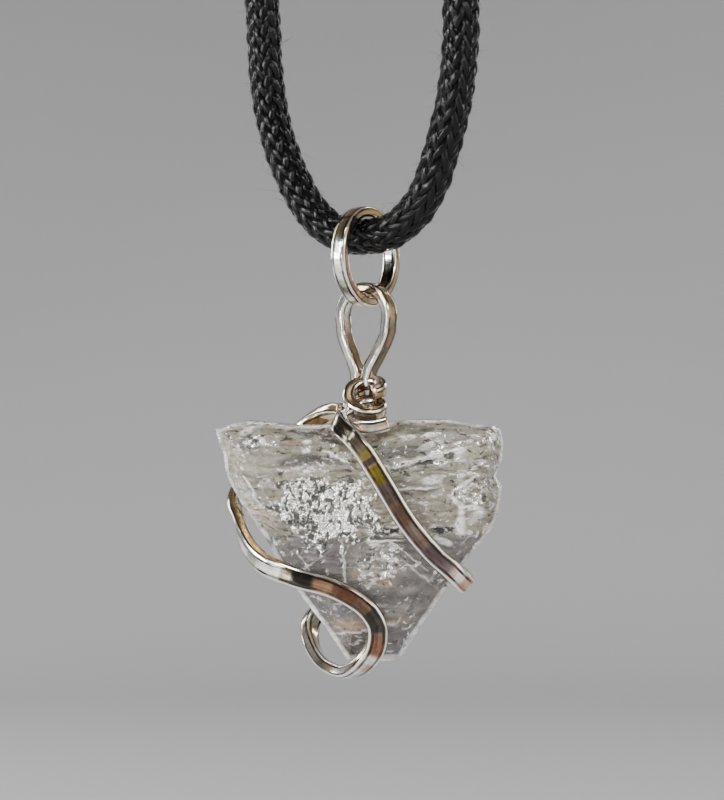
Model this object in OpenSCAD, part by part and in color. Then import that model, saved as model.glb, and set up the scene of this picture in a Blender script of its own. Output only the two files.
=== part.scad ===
// Wire-wrapped crystal pendant on a braided cord, hanging as it is worn.
// The origin is under the clasp, at the top of the inside of the cord's loop.
// +Z is up, the pendant's face looks along -Y, and +X is to the viewer's right.

/* [Cord] */
// Diameter of the braided cord
cord_d = 3; // [2:0.1:3.2]
// Outer diameter of the barrel clasp
clasp_d = 6; // [5:0.1:7]
// Length of the barrel clasp
clasp_l = 26; // [24:0.5:26]

/* [Jump ring] */
// Inside radius of the ring
ring_r = 3.2; // [3.1:0.05:3.4]
// Thickness of the ring's wire, measured across the ring
ring_t = 0.85; // [0.6:0.05:0.9]
// Width of the ring's wire, measured along the ring's axis
ring_w = 1.35; // [1:0.05:1.4]

/* [Wire wrap] */
// Width of the squared wire's face in the bail and the collar
wire_w = 1.15; // [0.9:0.05:1.2]
// Width of the flattened wire round the crystal
wrap_w = 1.6; // [1.2:0.05:1.7]
// Thickness of the squared wire
wire_t = 0.95; // [0.8:0.05:1]
// Inside radius of the round top of the bail
bail_r = 1.8; // [1.7:0.05:1.9]
// Radius of the collar's turns, to the middle of the wire
collar_r = 1.3; // [1.2:0.05:1.4]
// Drop of the collar from one turn to the next
collar_pitch = 1.6; // [1.55:0.05:1.7]
// Lean of the collar's turns towards the front
collar_lean = 38; // [30:1:42]

/* [Crystal] */
// Thickness of the crystal between its front and back faces
crystal_t = 7.6; // [6:0.1:7.8]
// Width of the shallow slope between each bevel and the flat of a face
face_w = 1.6; // [1:0.1:2.4]
// Height of that slope
crown_h = 0.25; // [0.1:0.05:0.5]

/* [Hidden] */
// Running gap between two metal pieces that hang on each other
hang_gap = 0.2;
// Turn of the cord's lower loop about the vertical, its right side nearer the viewer
turn = 35;
// Height of the cord's middle line at the clasp and at its lowest point
clasp_z = clasp_d / 2;
low_z = -159;
// The ring hangs with its top inside just over the cord
ring_z = low_z + cord_d / 2 + 0.1 - ring_r;
// Middle of the bail's round top, one gap over the bottom of the ring
bail_z = ring_z - ring_r + hang_gap - bail_r;

// Turn of the wire's own faces in the bail's stems, twisted further than the bail's plane
stem_turn = turn + 15;

// The cord's route, from the right end of the clasp round to its left end: [x, y, z]
ROUTE = [
    [13, 0, 3], [15, 0, 3], [17, 0, 3], [22.6, 0, 0.6], [29.2, 0, -7.6], [32.8, 0, -19],
    [33.2, 0, -31], [31.8, -0.3, -45], [28, -0.9, -62], [22.4, -2, -80], [16.4, -3.4, -97],
    [11.6, -4.7, -114], [8.6, -5.3, -129], [7.5, -5.2, -140], [7.4, -5.2, -144],
    [7, -4.9, -148], [6.1, -4.3, -152], [4.7, -3.3, -156], [2.5, -1.7, -158.4],
    [0, 0, -159],
    [-2.6, 1.8, -158.4], [-4.9, 3.4, -156], [-6.8, 4.7, -152], [-7.9, 5.6, -148],
    [-8.4, 5.9, -144], [-8.6, 6, -140], [-9.6, 5.9, -129], [-12.2, 5.1, -114],
    [-16.6, 3.7, -97], [-22.4, 2.2, -80], [-28, 1, -62], [-31.8, 0.3, -45], [-33.2, 0, -31],
    [-32.8, 0, -19], [-29.2, 0, -7.6], [-22.6, 0, 0.6], [-17, 0, 3], [-15, 0, 3], [-13, 0, 3],
];

// The bail, in its own plane, from the cut end of its right stem over the top
// to its left stem inside the collar: [across, up from the middle of the round top]
bail_c = bail_r + wire_t / 2;
BAIL = concat(
    [[0.24, -5.7], [0.26, -4.9], [0.5, -4.2], [1, -3.4], [1.62, -2.4], [2.1, -1.4]],
    [for (a = [-15:15:195]) bail_c * [cos(a), sin(a)]],
    [[-2.12, -1.4], [-1.74, -2.4], [-1.28, -3.4], [-0.92, -4.2], [-0.78, -4.9], [-0.76, -6.6]]
);

// The wrap from the collar over the front, the edges and the back:
// [x, y, z from the cord, and the direction away from the crystal]
WRAP = [
    [-1.35, -1, -14.1, -1, 0, 0],
    [-2.05, -2.3, -14.6, -1, -0.4, 0.3], [-1.95, -3.4, -15.3, -0.5, -0.9, 0.3],
    [-1.2, -4.25, -16, -0.15, -1, 0.1], [-0.45, -4.5, -16.9, 0, -1, 0],
    [0.15, -4.5, -17.75, 0, -1, 0], [1.35, -4.5, -19.7, 0, -1, 0], [2.75, -4.5, -22.05, 0, -1, 0],
    [3.9, -4.5, -23.65, 0, -1, 0], [5.3, -4.5, -25.25, 0, -1, 0], [6.6, -4.45, -26.4, 0, -1, 0],
    [7.35, -4.1, -27.15, 0.3, -1, -0.3], [7.78, -3.3, -27.58, 0.7, -0.6, -0.7],
    [7.85, -2.2, -27.65, 0.8, -0.1, -0.6], [7.85, 0, -27.65, 0.8, 0, -0.6],
    [7.85, 2, -27.65, 0.8, 0.1, -0.6], [7.6, 3.4, -27.6, 0.7, 0.7, -0.4],
    [6.8, 4.3, -27.6, 0.3, 1, -0.1], [5.6, 4.6, -27.7, 0, 1, 0], [4, 4.55, -28.1, 0, 1, 0],
    [1, 4.5, -29, 0, 1, 0], [-1.8, 4.5, -29.8, 0, 1, 0], [-3.6, 4.1, -30.5, -0.2, 1, 0],
    [-4.5, 3, -31.5, -0.7, 0.7, -0.3], [-4.5, 1.8, -32.8, -0.9, 0.3, -0.5],
    [-3.9, 0.4, -33.9, -0.7, 0, -0.7], [-2.9, -1, -34.6, -0.3, -0.2, -1],
    [-1.6, -2.2, -34.8, 0, -0.3, -1], [-0.4, -3.2, -34.15, 0.2, -0.7, -0.6],
    [0.6, -3.9, -32.9, 0.3, -1, -0.1], [0.9, -4.4, -31.2, 0.1, -1, 0],
    [0.4, -4.5, -30, 0, -1, 0], [-0.5, -4.5, -29.1, 0, -1, 0], [-1.8, -4.5, -28.3, 0, -1, 0],
    [-3.3, -4.5, -27.7, 0, -1, 0], [-4.9, -4.4, -27.3, 0, -1, 0],
    [-6.4, -4, -26.8, -0.2, -1, -0.1], [-7.9, -3.4, -26.2, -0.4, -1, -0.3],
    [-9, -2.5, -25.3, -0.7, -0.7, -0.4], [-9.75, -1.5, -24.1, -0.9, -0.4, -0.3],
    [-10.15, -0.5, -22.9, -1, -0.1, -0.3], [-10.65, 1, -21.8, -1, 0.2, -0.2],
    [-10.5, 2.55, -20.9, -0.9, 0.6, 0], [-10, 3.5, -19.9, -0.5, 0.9, 0.1],
    [-9.1, 4.4, -18.9, -0.1, 1, 0], [-8, 4.7, -17.9, 0, 1, 0], [-7, 4.6, -16.9, 0, 1, 0],
    [-5.8, 4.3, -16.1, 0, 1, 0.1], [-4.6, 3.9, -15.15, 0, 1, 0.3], [-3.5, 3, -14.4, 0, 0.8, 0.6],
    [-2.4, 1.6, -14, 0, 0.5, 0.9], [-1.7, 0.7, -13.95, 0, 0.3, 1],
];

// The cut end laid over the front of the collar's foot: columns as above
TAIL = [
    [-1.6, -2.5, -14.95, -0.6, -1, 0], [-0.8, -2.95, -15.25, -0.2, -1, -0.1],
    [0.3, -3.12, -15.32, 0, -1, -0.1], [1.1, -3.15, -15.2, 0.1, -1, -0.1], [1.75, -3.12, -15.02, 0.2, -1, 0],
];

// The crystal's outline seen from the front, clockwise from the upper left:
// [x, z from the cord, half thickness at the rim, width of the front bevel, of the back one]
OUTLINE = [
    [-12.1, -15.5, 0.8, 2.2, 2.6], [-9.4, -14.8, 1.6, 1.6, 1.6], [-5, -15.1, 2, 1.3, 1.3],
    [-2.6, -15, 1.6, 1.6, 1.4], [-1.6, -15.4, 1.5, 1.6, 1.4], [1, -15.4, 1.5, 1.6, 1.4],
    [1.8, -14.9, 1.6, 1.6, 1.4], [3.6, -14.7, 2, 1.3, 1.3], [6.5, -14.7, 2.2, 1.3, 1.3],
    [8.5, -15.1, 2, 1.3, 1.3], [10.2, -15.1, 1.6, 1.4, 1.4], [10.8, -15.5, 1.4, 1.4, 1.4],
    [11, -16.5, 1.8, 1.3, 1.3], [10.9, -17.5, 1.9, 1.3, 1.3], [10.4, -19.2, 2, 1.3, 1.3],
    [10.9, -20, 1.9, 1.3, 1.3], [10.5, -22.1, 2.2, 1.3, 1.3], [10, -23.4, 2.2, 1.3, 1.3],
    [7.6, -26.5, 2, 1.4, 1.4], [6.1, -28.6, 1.8, 1.6, 1.6], [2.7, -33.95, 1.2, 2.6, 2],
    [-1.4, -34.15, 1.2, 2.8, 2], [-4.4, -29.9, 1.6, 1.8, 1.6], [-7.2, -25.9, 1.4, 1.8, 2],
    [-8.3, -23.9, 1.2, 1.8, 2.6], [-10.1, -21.4, 1, 1.8, 3], [-10.7, -20.4, 1, 1.8, 3],
    [-11.3, -19, 1, 1.6, 3], [-11.4, -17.6, 1.1, 1.6, 2.6],
];
// Middle that the outline is drawn in towards
crystal_mid = [-0.4, -23];

// A point at parameter u of the segment from b to c on a smooth curve through a, b, c and d
function on_curve(a, b, c, d, u) =
    0.5 * (2 * b + (c - a) * u + (2 * a - 5 * b + 4 * c - d) * u * u
    + (3 * b - a - 3 * c + d) * u * u * u);

// A smooth curve through the points p, with n steps for each segment
function smooth(p, n) = let (m = len(p) - 1) concat(
    [for (i = [0:m - 1], j = [0:n - 1])
        on_curve(p[max(i - 1, 0)], p[i], p[i + 1], p[min(i + 2, m)], j / n)],
    [p[m]]
);

function unit(v) = v / norm(v);

// The direction of the path p at its point i
function heading(p, i) = unit(p[min(i + 1, len(p) - 1)] - p[max(i - 1, 0)]);

// The part of v that is square to the direction t
function square_to(v, t) = unit(v - (v * t) * t);

// A row's place, and its direction out of the work
function place(r) = [r[0], r[1], r[2]];
function outward(r) = [r[3], r[4], r[5]];

// A solid whose section, a list of [out, across] points, follows rows of [place, direction out]
module sweep(rows, section) {
    p = [for (r = rows) place(r)];
    n = len(section);
    rings = [
        for (i = [0:len(p) - 1])
            let (t = heading(p, i), side = square_to(outward(rows[i]), t))
                for (c = section) p[i] + c[0] * side + c[1] * cross(t, side)
    ];
    walls = [
        for (i = [0:len(p) - 2], j = [0:n - 1])
            let (a = i * n + j, b = i * n + (j + 1) % n) each [[a, b + n, b], [a, a + n, b + n]]
    ];
    first = [for (j = [0:n - 1]) j];
    last = [for (j = [n - 1:-1:0]) (len(p) - 1) * n + j];
    polyhedron(points = rings, faces = concat([first], walls, [last]));
}

// The squared wire's section with its corners eased: t out of the work, w across it
function squared(t, w) = let (e = 0.22) [
    [t / 2, w / 2 - e], [t / 2 - e, w / 2], [e - t / 2, w / 2], [-t / 2, w / 2 - e],
    [-t / 2, e - w / 2], [e - t / 2, -w / 2], [t / 2 - e, -w / 2], [t / 2, e - w / 2],
];

// A round section with n sides
function round_section(d, n) = [for (j = [0:n - 1]) d / 2 * [cos(360 * j / n), sin(360 * j / n)]];

// The collar's turns, from the right front over the back and left, round again to the left
COLLAR = [
    for (a = [-60:30:540])
        let (drop = collar_pitch * (a + 60) / 360,
            out = [cos(a), sin(a) * cos(collar_lean), sin(a) * sin(collar_lean)])
            concat([-0.1, -1.1, -11.93 - drop] + collar_r * out, out)
];

module cord() {
    rows = [for (p = smooth(ROUTE, 2)) concat(p, [0, 1, 0])];
    color("#17171a") sweep(rows, round_section(cord_d, 8));
}

// A barrel with a groove near each end
module clasp() {
    h = clasp_l / 2;
    r = clasp_d / 2;
    // Half of the profile, from the middle out: [radius, along]
    profile = [[0, 0], [r, 0], [r, h - 5], [r - 0.5, h - 4.5], [r - 0.5, h - 4], [r, h - 3.5],
        [r, h - 0.6], [r - 0.6, h], [0, h]];
    color("#c9c4ba") translate([0, 0, clasp_z]) for (s = [-1, 1])
        rotate([0, 90 * s, 0]) rotate_extrude($fn = 48) polygon(profile);
}

module jump_ring() {
    e = 0.22;
    a = ring_r;
    b = ring_r + ring_t;
    w = ring_w / 2;
    profile = [[a + e, -w], [b - e, -w], [b, e - w], [b, w - e], [b - e, w], [a + e, w],
        [a, w - e], [a, e - w]];
    color("#cfc3ad") translate([0, 0, ring_z]) rotate([0, 0, -turn]) rotate([0, 90, 0])
        rotate_extrude($fn = 72) polygon(profile);
}

module wire_wrap() {
    facing = [sin(stem_turn), cos(stem_turn), 0];
    bail = [for (p = BAIL) concat([p[0] * cos(turn), -p[0] * sin(turn), bail_z + p[1]], facing)];
    drop = [0, 0, low_z, 0, 0, 0];
    section = squared(wire_t, wire_w);
    color("#cfc3ad") union() {
        sweep(smooth(bail, 2), squared(wire_w, wire_t));
        sweep([for (r = smooth(COLLAR, 2)) r + drop], section);
        sweep([for (r = smooth(WRAP, 2)) r + drop], squared(wire_t, wrap_w));
        sweep([for (r = smooth(TAIL, 2)) r + drop], section);
    }
}

// The rim at the front or back, given by side
function rim(side) = [for (p = OUTLINE) [p[0], side * p[2], p[1] + low_z]];

// The outline drawn in by its bevels and by extra more, at the depth y
function inner(extra, y) = [
    for (p = OUTLINE)
        let (q = [p[0], p[1]], w = (y < 0 ? p[3] : p[4]) + extra,
            r = q + w * (crystal_mid - q) / norm(crystal_mid - q))
            [r[0], y, r[1] + low_z]
];

module crystal() {
    n = len(OUTLINE);
    h = crystal_t / 2;
    layers = [
        inner(face_w, -h), inner(0, crown_h - h), rim(-1),
        rim(1), inner(0, h - crown_h), inner(face_w, h),
    ];
    top = len(layers) - 1;
    middle = [crystal_mid[0], 0, crystal_mid[1] + low_z];
    points = concat([middle - [0, h, 0]], [for (l = layers) each l], [middle + [0, h, 0]]);
    walls = [
        for (i = [0:top - 1], j = [0:n - 1])
            let (a = 1 + i * n + j, b = 1 + i * n + (j + 1) % n)
                each [[a, a + n, b + n], [a, b + n, b]]
    ];
    front = [for (j = [0:n - 1]) [0, 1 + j, 1 + (j + 1) % n]];
    back = [
        for (j = [0:n - 1])
            [len(points) - 1, 1 + top * n + (j + 1) % n, 1 + top * n + j]
    ];
    color("#d8d4cf", 0.6) polyhedron(points = points, faces = concat(front, walls, back));
}

cord();
clasp();
jump_ring();
wire_wrap();
crystal();
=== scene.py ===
"""Looks of a wire-wrapped crystal pendant on a braided cord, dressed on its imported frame.

All lengths are metres in the frame's own axes: +Z up, the pendant's face along -Y, and the
origin under the clasp, at the top of the inside of the cord's loop. Tables of shapes are in
millimetres.
"""

import logging
from dataclasses import dataclass, field
from enum import Enum

import bpy
import numpy as np
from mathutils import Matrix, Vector


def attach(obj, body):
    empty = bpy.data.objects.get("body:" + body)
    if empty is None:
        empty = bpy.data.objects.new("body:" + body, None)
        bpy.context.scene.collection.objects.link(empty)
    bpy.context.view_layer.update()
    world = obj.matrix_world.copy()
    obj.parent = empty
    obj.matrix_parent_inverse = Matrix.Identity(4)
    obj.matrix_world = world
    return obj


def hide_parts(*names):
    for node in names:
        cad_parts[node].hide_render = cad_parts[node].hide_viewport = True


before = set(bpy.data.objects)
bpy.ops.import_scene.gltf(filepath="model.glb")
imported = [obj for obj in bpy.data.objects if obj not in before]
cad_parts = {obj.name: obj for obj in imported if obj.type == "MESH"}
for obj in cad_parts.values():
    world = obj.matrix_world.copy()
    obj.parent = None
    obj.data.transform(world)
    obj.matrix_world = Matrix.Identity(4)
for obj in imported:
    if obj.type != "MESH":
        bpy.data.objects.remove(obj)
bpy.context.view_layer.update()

Points = np.ndarray
Socket = bpy.types.NodeSocket
Colour = tuple[float, float, float]
Triple = tuple[float, float, float]

LOG = logging.getLogger("pendant")
MM = 0.001

# Height of the cord's lowest middle point, from which the pendant's tables are measured
LOW_Z = -159.0
# Turn of the cord's lower loop about the vertical, its right side nearer the viewer
TURN = np.radians(35.0)
# Level across the loop's plane, and level square to it
ACROSS = np.array([np.cos(TURN), -np.sin(TURN), 0.0])
THROUGH = np.array([np.sin(TURN), np.cos(TURN), 0.0])
UP = np.array([0.0, 0.0, 1.0])

# Samples of a smooth path for each of its given points, before equal steps are read off
PATH_SAMPLES = 40
# How far a squared section's points are drawn towards its corners, in radians
CORNER_DRAW = 0.18
# Cells along each side of the noise lattice, after which it repeats
LATTICE = 32
# Sharpness of a section's corners: of a plain ellipse, and of squared silver wire
ROUND_POWER = 2.0
WIRE_POWER = 6.0
# Distance between a wire's faces in the noise of its patina, so that each has its own
FACE_APART = 9.7


class Body(Enum):
    """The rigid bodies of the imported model."""

    LOOP = "loop"
    RING = "ring"
    PENDANT = "pendant"


class Slot(Enum):
    """The record's material slots."""

    CORD = "cord"
    CLASP = "clasp"
    RING = "ring"
    WIRE = "wire"
    CRYSTAL = "crystal"


# Number work


def unit(v: Points) -> Points:
    """Vectors scaled to length one along their last axis."""
    return v / np.maximum(np.linalg.norm(v, axis=-1, keepdims=True), 1e-12)


def ease(x: Points, low: float, high: float) -> Points:
    """A smooth step: 3t^2 - 2t^3, where t runs from 0 at low to 1 at high."""
    t = np.clip((x - low) / (high - low), 0.0, 1.0)
    return t * t * (3.0 - 2.0 * t)


def through(points: Points, count: int) -> Points:
    """A smooth path of equal steps through given points.

    The curve is the cubic whose slope at each point is half the way between its neighbours,
    sampled finely and read again at equal steps of its own length.

    Args:
        points: Rows of any number of columns. The first three are the place.
        count: Rows wanted.

    Returns:
        An array of count rows with the columns of points.
    """
    p = np.asarray(points, float)
    padded = np.vstack([p[:1], p, p[-1:]])
    u = np.linspace(0.0, len(p) - 1, PATH_SAMPLES * len(p))
    i = np.minimum(u.astype(int), len(p) - 2)
    t = (u - i)[:, None]
    a, b, c, d = (padded[i + k] for k in range(4))
    curve = 0.5 * (
        2 * b + (c - a) * t + (2 * a - 5 * b + 4 * c - d) * t**2 + (3 * b - a - 3 * c + d) * t**3
    )
    run = np.concatenate([[0.0], np.cumsum(np.linalg.norm(np.diff(curve[:, :3], axis=0), axis=1))])
    want = np.linspace(0.0, run[-1], count)
    return np.column_stack([np.interp(want, run, column) for column in curve.T])


def headings(path: Points) -> Points:
    """The direction of a path at each of its points, from the points before and after."""
    return unit(np.gradient(path, axis=-2))


def square_to(side: Points, heading: Points) -> Points:
    """The part of side at right angles to heading, at length one."""
    return unit(side - np.sum(side * heading, axis=-1, keepdims=True) * heading)


def eased_square(thick: float, wide: float, count: int, power: float) -> Points:
    """A squared section with rounded corners.

    Each point lies where |x/a|^power + |y/b|^power = 1, at an angle that crowds the points
    towards the four corners.

    Args:
        thick: Size out of the work.
        wide: Size across the wire.
        count: Points round the section.
        power: 2 gives an ellipse, and more gives sharper corners.

    Returns:
        Rows of [out, across].
    """
    a = np.linspace(0.0, 2 * np.pi, count, endpoint=False)
    a = a - CORNER_DRAW * np.sin(4 * a)
    c, s = np.cos(a), np.sin(a)
    r = (np.abs(c) ** power + np.abs(s) ** power) ** (-1.0 / power)
    return np.column_stack([r * c * thick / 2, r * s * wide / 2])


def value_noise(at: Points, cell: float, seed: int) -> Points:
    """Smooth noise from -1 to 1 on a lattice of random numbers, eased between its corners.

    Args:
        at: Points, rows of three numbers.
        cell: Size of one lattice cell.
        seed: Picks the lattice.

    Returns:
        One number for each point.
    """
    rng = np.random.default_rng(seed)
    table = rng.uniform(-1.0, 1.0, (LATTICE, LATTICE, LATTICE))
    q = at / cell
    base = np.floor(q).astype(int)
    f = q - base
    f = f * f * (3 - 2 * f)
    total = np.zeros(at.shape[:-1])
    for corner in np.ndindex(2, 2, 2):
        index = tuple((base[..., k] + corner[k]) % LATTICE for k in range(3))
        share = np.prod([f[..., k] if corner[k] else 1 - f[..., k] for k in range(3)], axis=0)
        total += share * table[index]
    return total


# Meshes


@dataclass
class Surface:
    """One or many surfaces on grids of points, kept until they are put into a mesh.

    The last three axes of grid are the rows along, the points across and x, y, z. The axes
    before them count separate surfaces of the same kind.
    """

    grid: Points
    uv: Points
    looped: bool = False
    colours: dict[str, Points] = field(default_factory=dict)

    def faces(self, start: int) -> tuple[Points, Points, list[list[int]], Points]:
        """The quads of the grids, closed round each row, and their end caps.

        Args:
            start: Index of the surface's first vertex in the whole mesh.

        Returns:
            The quads, the map of their corners, the caps as lists of indices, and theirs.
        """
        shape = self.grid.shape[:-1]
        index = start + np.arange(np.prod(shape)).reshape(shape)
        index = np.concatenate([index, index[..., :1]], axis=-1)
        uv = np.concatenate([self.uv, self.uv[..., :1, :] + [1, 0]], axis=-2)
        if self.looped:
            index = np.concatenate([index, index[..., :1, :]], axis=-2)
            uv = np.concatenate([uv, 2 * uv[..., -1:, :, :] - uv[..., -2:-1, :, :]], axis=-3)
        corners = ((slice(-1), slice(-1)), (slice(-1), slice(1, None)),
                   (slice(1, None), slice(1, None)), (slice(1, None), slice(-1)))
        quads = np.stack([index[..., i, j] for i, j in corners], axis=-1).reshape(-1, 4)
        maps = np.stack([uv[..., i, j, :] for i, j in corners], axis=-2).reshape(-1, 2)
        if self.looped:
            return quads, maps, [], np.empty((0, 2))
        ends = np.stack([index[..., 0, -2::-1], index[..., -1, :-1]], axis=-2)
        end_maps = np.stack([uv[..., 0, -2::-1, :], uv[..., -1, :-1, :]], axis=-3)
        return quads, maps, ends.reshape(-1, shape[-1]).tolist(), end_maps.reshape(-1, 2)


def swept(path: Points, out: Points, section: Points, along: float = MM) -> Surface:
    """A section carried along a path, or along many paths at once.

    Each point is the path's point plus the section's first number along out and its second
    along the cross product of the heading and out.

    Args:
        path: The middle lines, rows of x, y, z.
        out: One side direction for each of their points.
        section: Rows of [out, across], or one such table for each path point.
        along: Length of path for one unit of the second map coordinate.

    Returns:
        The surfaces, with a map that runs round the section and along the path.
    """
    heading = headings(path)
    out = square_to(out, heading)
    side = np.cross(heading, out)
    section = np.broadcast_to(section, (*path.shape[:-1], *section.shape[-2:]))
    offset = section[..., :1] * out[..., None, :] + section[..., 1:] * side[..., None, :]
    grid = path[..., None, :] + offset
    step = np.linalg.norm(np.diff(path, axis=-2), axis=-1)
    run = np.concatenate([np.zeros((*step.shape[:-1], 1)), np.cumsum(step, axis=-1)], axis=-1)
    share = np.arange(section.shape[-2]) / section.shape[-2]
    uv = np.stack(np.broadcast_arrays(share, run[..., None] / along), axis=-1)
    return Surface(grid, uv)


def piece(name: str, surfaces: list[Surface]) -> bpy.types.Object:
    """Puts surfaces into one smooth mesh object at the origin.

    Args:
        name: The object's name.
        surfaces: The parts of the mesh, which share colour attribute names.

    Returns:
        The linked object.
    """
    quads, caps, maps, cap_maps = [], [], [], []
    start = 0
    for s in surfaces:
        q, q_map, ends, end_map = s.faces(start)
        quads.append(q)
        maps.append(q_map)
        caps += ends
        cap_maps.append(end_map)
        start += s.grid[..., 0].size
    mesh = bpy.data.meshes.new(name)
    points = np.vstack([s.grid.reshape(-1, 3) for s in surfaces])
    mesh.from_pydata(points, [], [*np.vstack(quads).tolist(), *caps])
    layer = mesh.uv_layers.new(name="Run")
    layer.data.foreach_set("uv", np.vstack([*maps, *cap_maps]).astype(np.float32).ravel())
    for key in surfaces[0].colours:
        values = np.concatenate([s.colours[key].reshape(-1, 4) for s in surfaces])
        attribute = mesh.color_attributes.new(name=key, type="FLOAT_COLOR", domain="POINT")
        attribute.data.foreach_set("color", values.astype(np.float32).ravel())
    mesh.polygons.foreach_set("use_smooth", np.full(len(mesh.polygons), True))
    mesh.validate()
    obj = bpy.data.objects.new(name, mesh)
    bpy.context.scene.collection.objects.link(obj)
    return obj


# Finishes


class Graph:
    """A material's node tree, with short calls to add and join nodes."""

    def __init__(self, name: str) -> None:
        """Starts an empty material.

        Args:
            name: The material's name.
        """
        self.material = bpy.data.materials.new(name)
        self.material.use_nodes = True
        self.tree = self.material.node_tree
        self.tree.nodes.clear()

    def node(self, kind: str, **settings: object) -> bpy.types.Node:
        """Adds a node.

        Args:
            kind: The node's type.
            settings: Its properties.

        Returns:
            The node.
        """
        made = self.tree.nodes.new(kind)
        for key, value in settings.items():
            setattr(made, key, value)
        return made

    def feed(self, socket: Socket, value: object) -> None:
        """Links an input to another socket, or sets it.

        Args:
            socket: The input.
            value: A socket to link, or a number or colour to set.
        """
        if isinstance(value, Socket):
            self.tree.links.new(value, socket)
        else:
            socket.default_value = value

    def put(self, made: bpy.types.Node, **inputs: object) -> bpy.types.Node:
        """Sets or links a node's inputs by name, with _ for a space.

        Args:
            made: The node.
            inputs: Numbers and colours to set, or sockets to link.

        Returns:
            The same node.
        """
        for key, value in inputs.items():
            self.feed(made.inputs[key.replace("_", " ")], value)
        return made

    def math(self, kind: str, *values: object) -> Socket:
        """One sum, product or the like.

        Args:
            kind: The Math node's operation.
            values: Sockets or numbers.

        Returns:
            The result.
        """
        made = self.node("ShaderNodeMath", operation=kind)
        for socket, value in zip(made.inputs, values):
            self.feed(socket, value)
        return made.outputs[0]

    def noise(self, at: Socket, scale: float, detail: float = 3.0, distortion: float = 0.0) -> Socket:
        """The height of a noise texture, about 0.5 in the middle.

        Args:
            at: Where it is read.
            scale: Cells for each unit of the coordinates.
            detail: How many finer layers it has.
            distortion: How far it is warped.

        Returns:
            The height.
        """
        made = self.put(self.node("ShaderNodeTexNoise"), Vector=at, Scale=scale)
        made.inputs["Detail"].default_value = detail
        made.inputs["Distortion"].default_value = distortion
        return made.outputs["Fac"]

    def range(self, value: Socket, low: float, high: float, to_low: float, to_high: float) -> Socket:
        """A number mapped from one range to another, held at its ends.

        Args:
            value: The number.
            low: Start of its range.
            high: End of its range.
            to_low: What it becomes at low.
            to_high: What it becomes at high.

        Returns:
            The mapped number.
        """
        made = self.node("ShaderNodeMapRange")
        self.put(made, Value=value, From_Min=low, From_Max=high, To_Min=to_low, To_Max=to_high)
        return made.outputs["Result"]

    def mix(self, share: object, first: object, second: object, blend: str = "MIX") -> Socket:
        """Two colours mixed.

        Args:
            share: How much of the second, from 0 to 1.
            first: The colour beneath.
            second: The colour laid on it.
            blend: The way they mix.

        Returns:
            The mixed colour.
        """
        made = self.node("ShaderNodeMix", data_type="RGBA", blend_type=blend)
        for index, value in ((0, share), (6, first), (7, second)):
            self.feed(made.inputs[index], value)
        return made.outputs[2]

    def bump(self, height: Socket, distance: float, strength: object = 1.0, under: object = None) -> Socket:
        """A bumped normal.

        Args:
            height: The height that bumps it.
            distance: Depth of the bumps in metres.
            strength: How much of it shows.
            under: A normal that it lies on, if any.

        Returns:
            The normal.
        """
        made = self.put(self.node("ShaderNodeBump"), Height=height, Distance=distance, Strength=strength)
        if under is not None:
            self.put(made, Normal=under)
        return made.outputs["Normal"]

    def mapped(self, source: Socket, scale: Triple) -> Socket:
        """Coordinates multiplied axis by axis."""
        made = self.put(self.node("ShaderNodeMapping"), Vector=source, Scale=scale)
        return made.outputs["Vector"]

    def run(self) -> Socket:
        """The piece's own map: round it, and along it."""
        return self.node("ShaderNodeUVMap", uv_map="Run").outputs["UV"]

    def place(self) -> Socket:
        """Coordinates in metres that stay with the piece."""
        return self.node("ShaderNodeTexCoord").outputs["Object"]

    def attribute(self, name: str) -> Socket:
        """A colour attribute of the piece."""
        return self.node("ShaderNodeVertexColor", layer_name=name).outputs["Color"]

    def finish(self, **inputs: object) -> bpy.types.Material:
        """Joins a principled shader to the material's output.

        Args:
            inputs: The shader's inputs by name.

        Returns:
            The material.
        """
        shader = self.put(self.node("ShaderNodeBsdfPrincipled"), **inputs)
        output = self.node("ShaderNodeOutputMaterial")
        self.tree.links.new(shader.outputs[0], output.inputs["Surface"])
        return self.material


@dataclass(frozen=True)
class WaxedYarn:
    """Black waxed cotton yarn: fine fibres along each strand, glossy where wax lies on top."""

    deep: Colour = (0.0008, 0.0008, 0.001)
    dusty: Colour = (0.004, 0.004, 0.005)
    fibre_scale: Triple = (11.0, 0.6, 1.0)
    wax_scale: float = 900.0
    patch_scale: float = 260.0
    waxed_roughness: tuple[float, float] = (0.04, 0.13)
    patch_roughness: tuple[float, float] = (-0.02, 0.07)
    gloss: float = 0.22
    fibre_depth: float = 0.00008
    wax_depth: float = 0.00002

    def material(self) -> bpy.types.Material:
        """The yarn's material, its fibres mapped along each strand's own run.

        Returns:
            The material.
        """
        g = Graph("waxed_yarn")
        place = g.place()
        fibre = g.noise(g.mapped(g.run(), self.fibre_scale), 1.0, 4.0, 0.3)
        wax = g.noise(place, self.wax_scale, 2.0)
        patch = g.noise(place, self.patch_scale, 2.0)
        dust = g.range(fibre, 0.35, 0.75, 0.0, 1.0)
        waxed = g.range(wax, 0.35, 0.65, *self.waxed_roughness)
        patchy = g.range(patch, 0.4, 0.6, *self.patch_roughness)
        return g.finish(
            Base_Color=g.mix(dust, (*self.deep, 1), (*self.dusty, 1)),
            Roughness=g.math("ADD", waxed, patchy),
            Specular_IOR_Level=self.gloss,
            Normal=g.bump(fibre, self.fibre_depth, 1.0, g.bump(wax, self.wax_depth, 0.4)),
            Sheen_Weight=0.02,
            Sheen_Roughness=0.4,
        )


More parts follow.
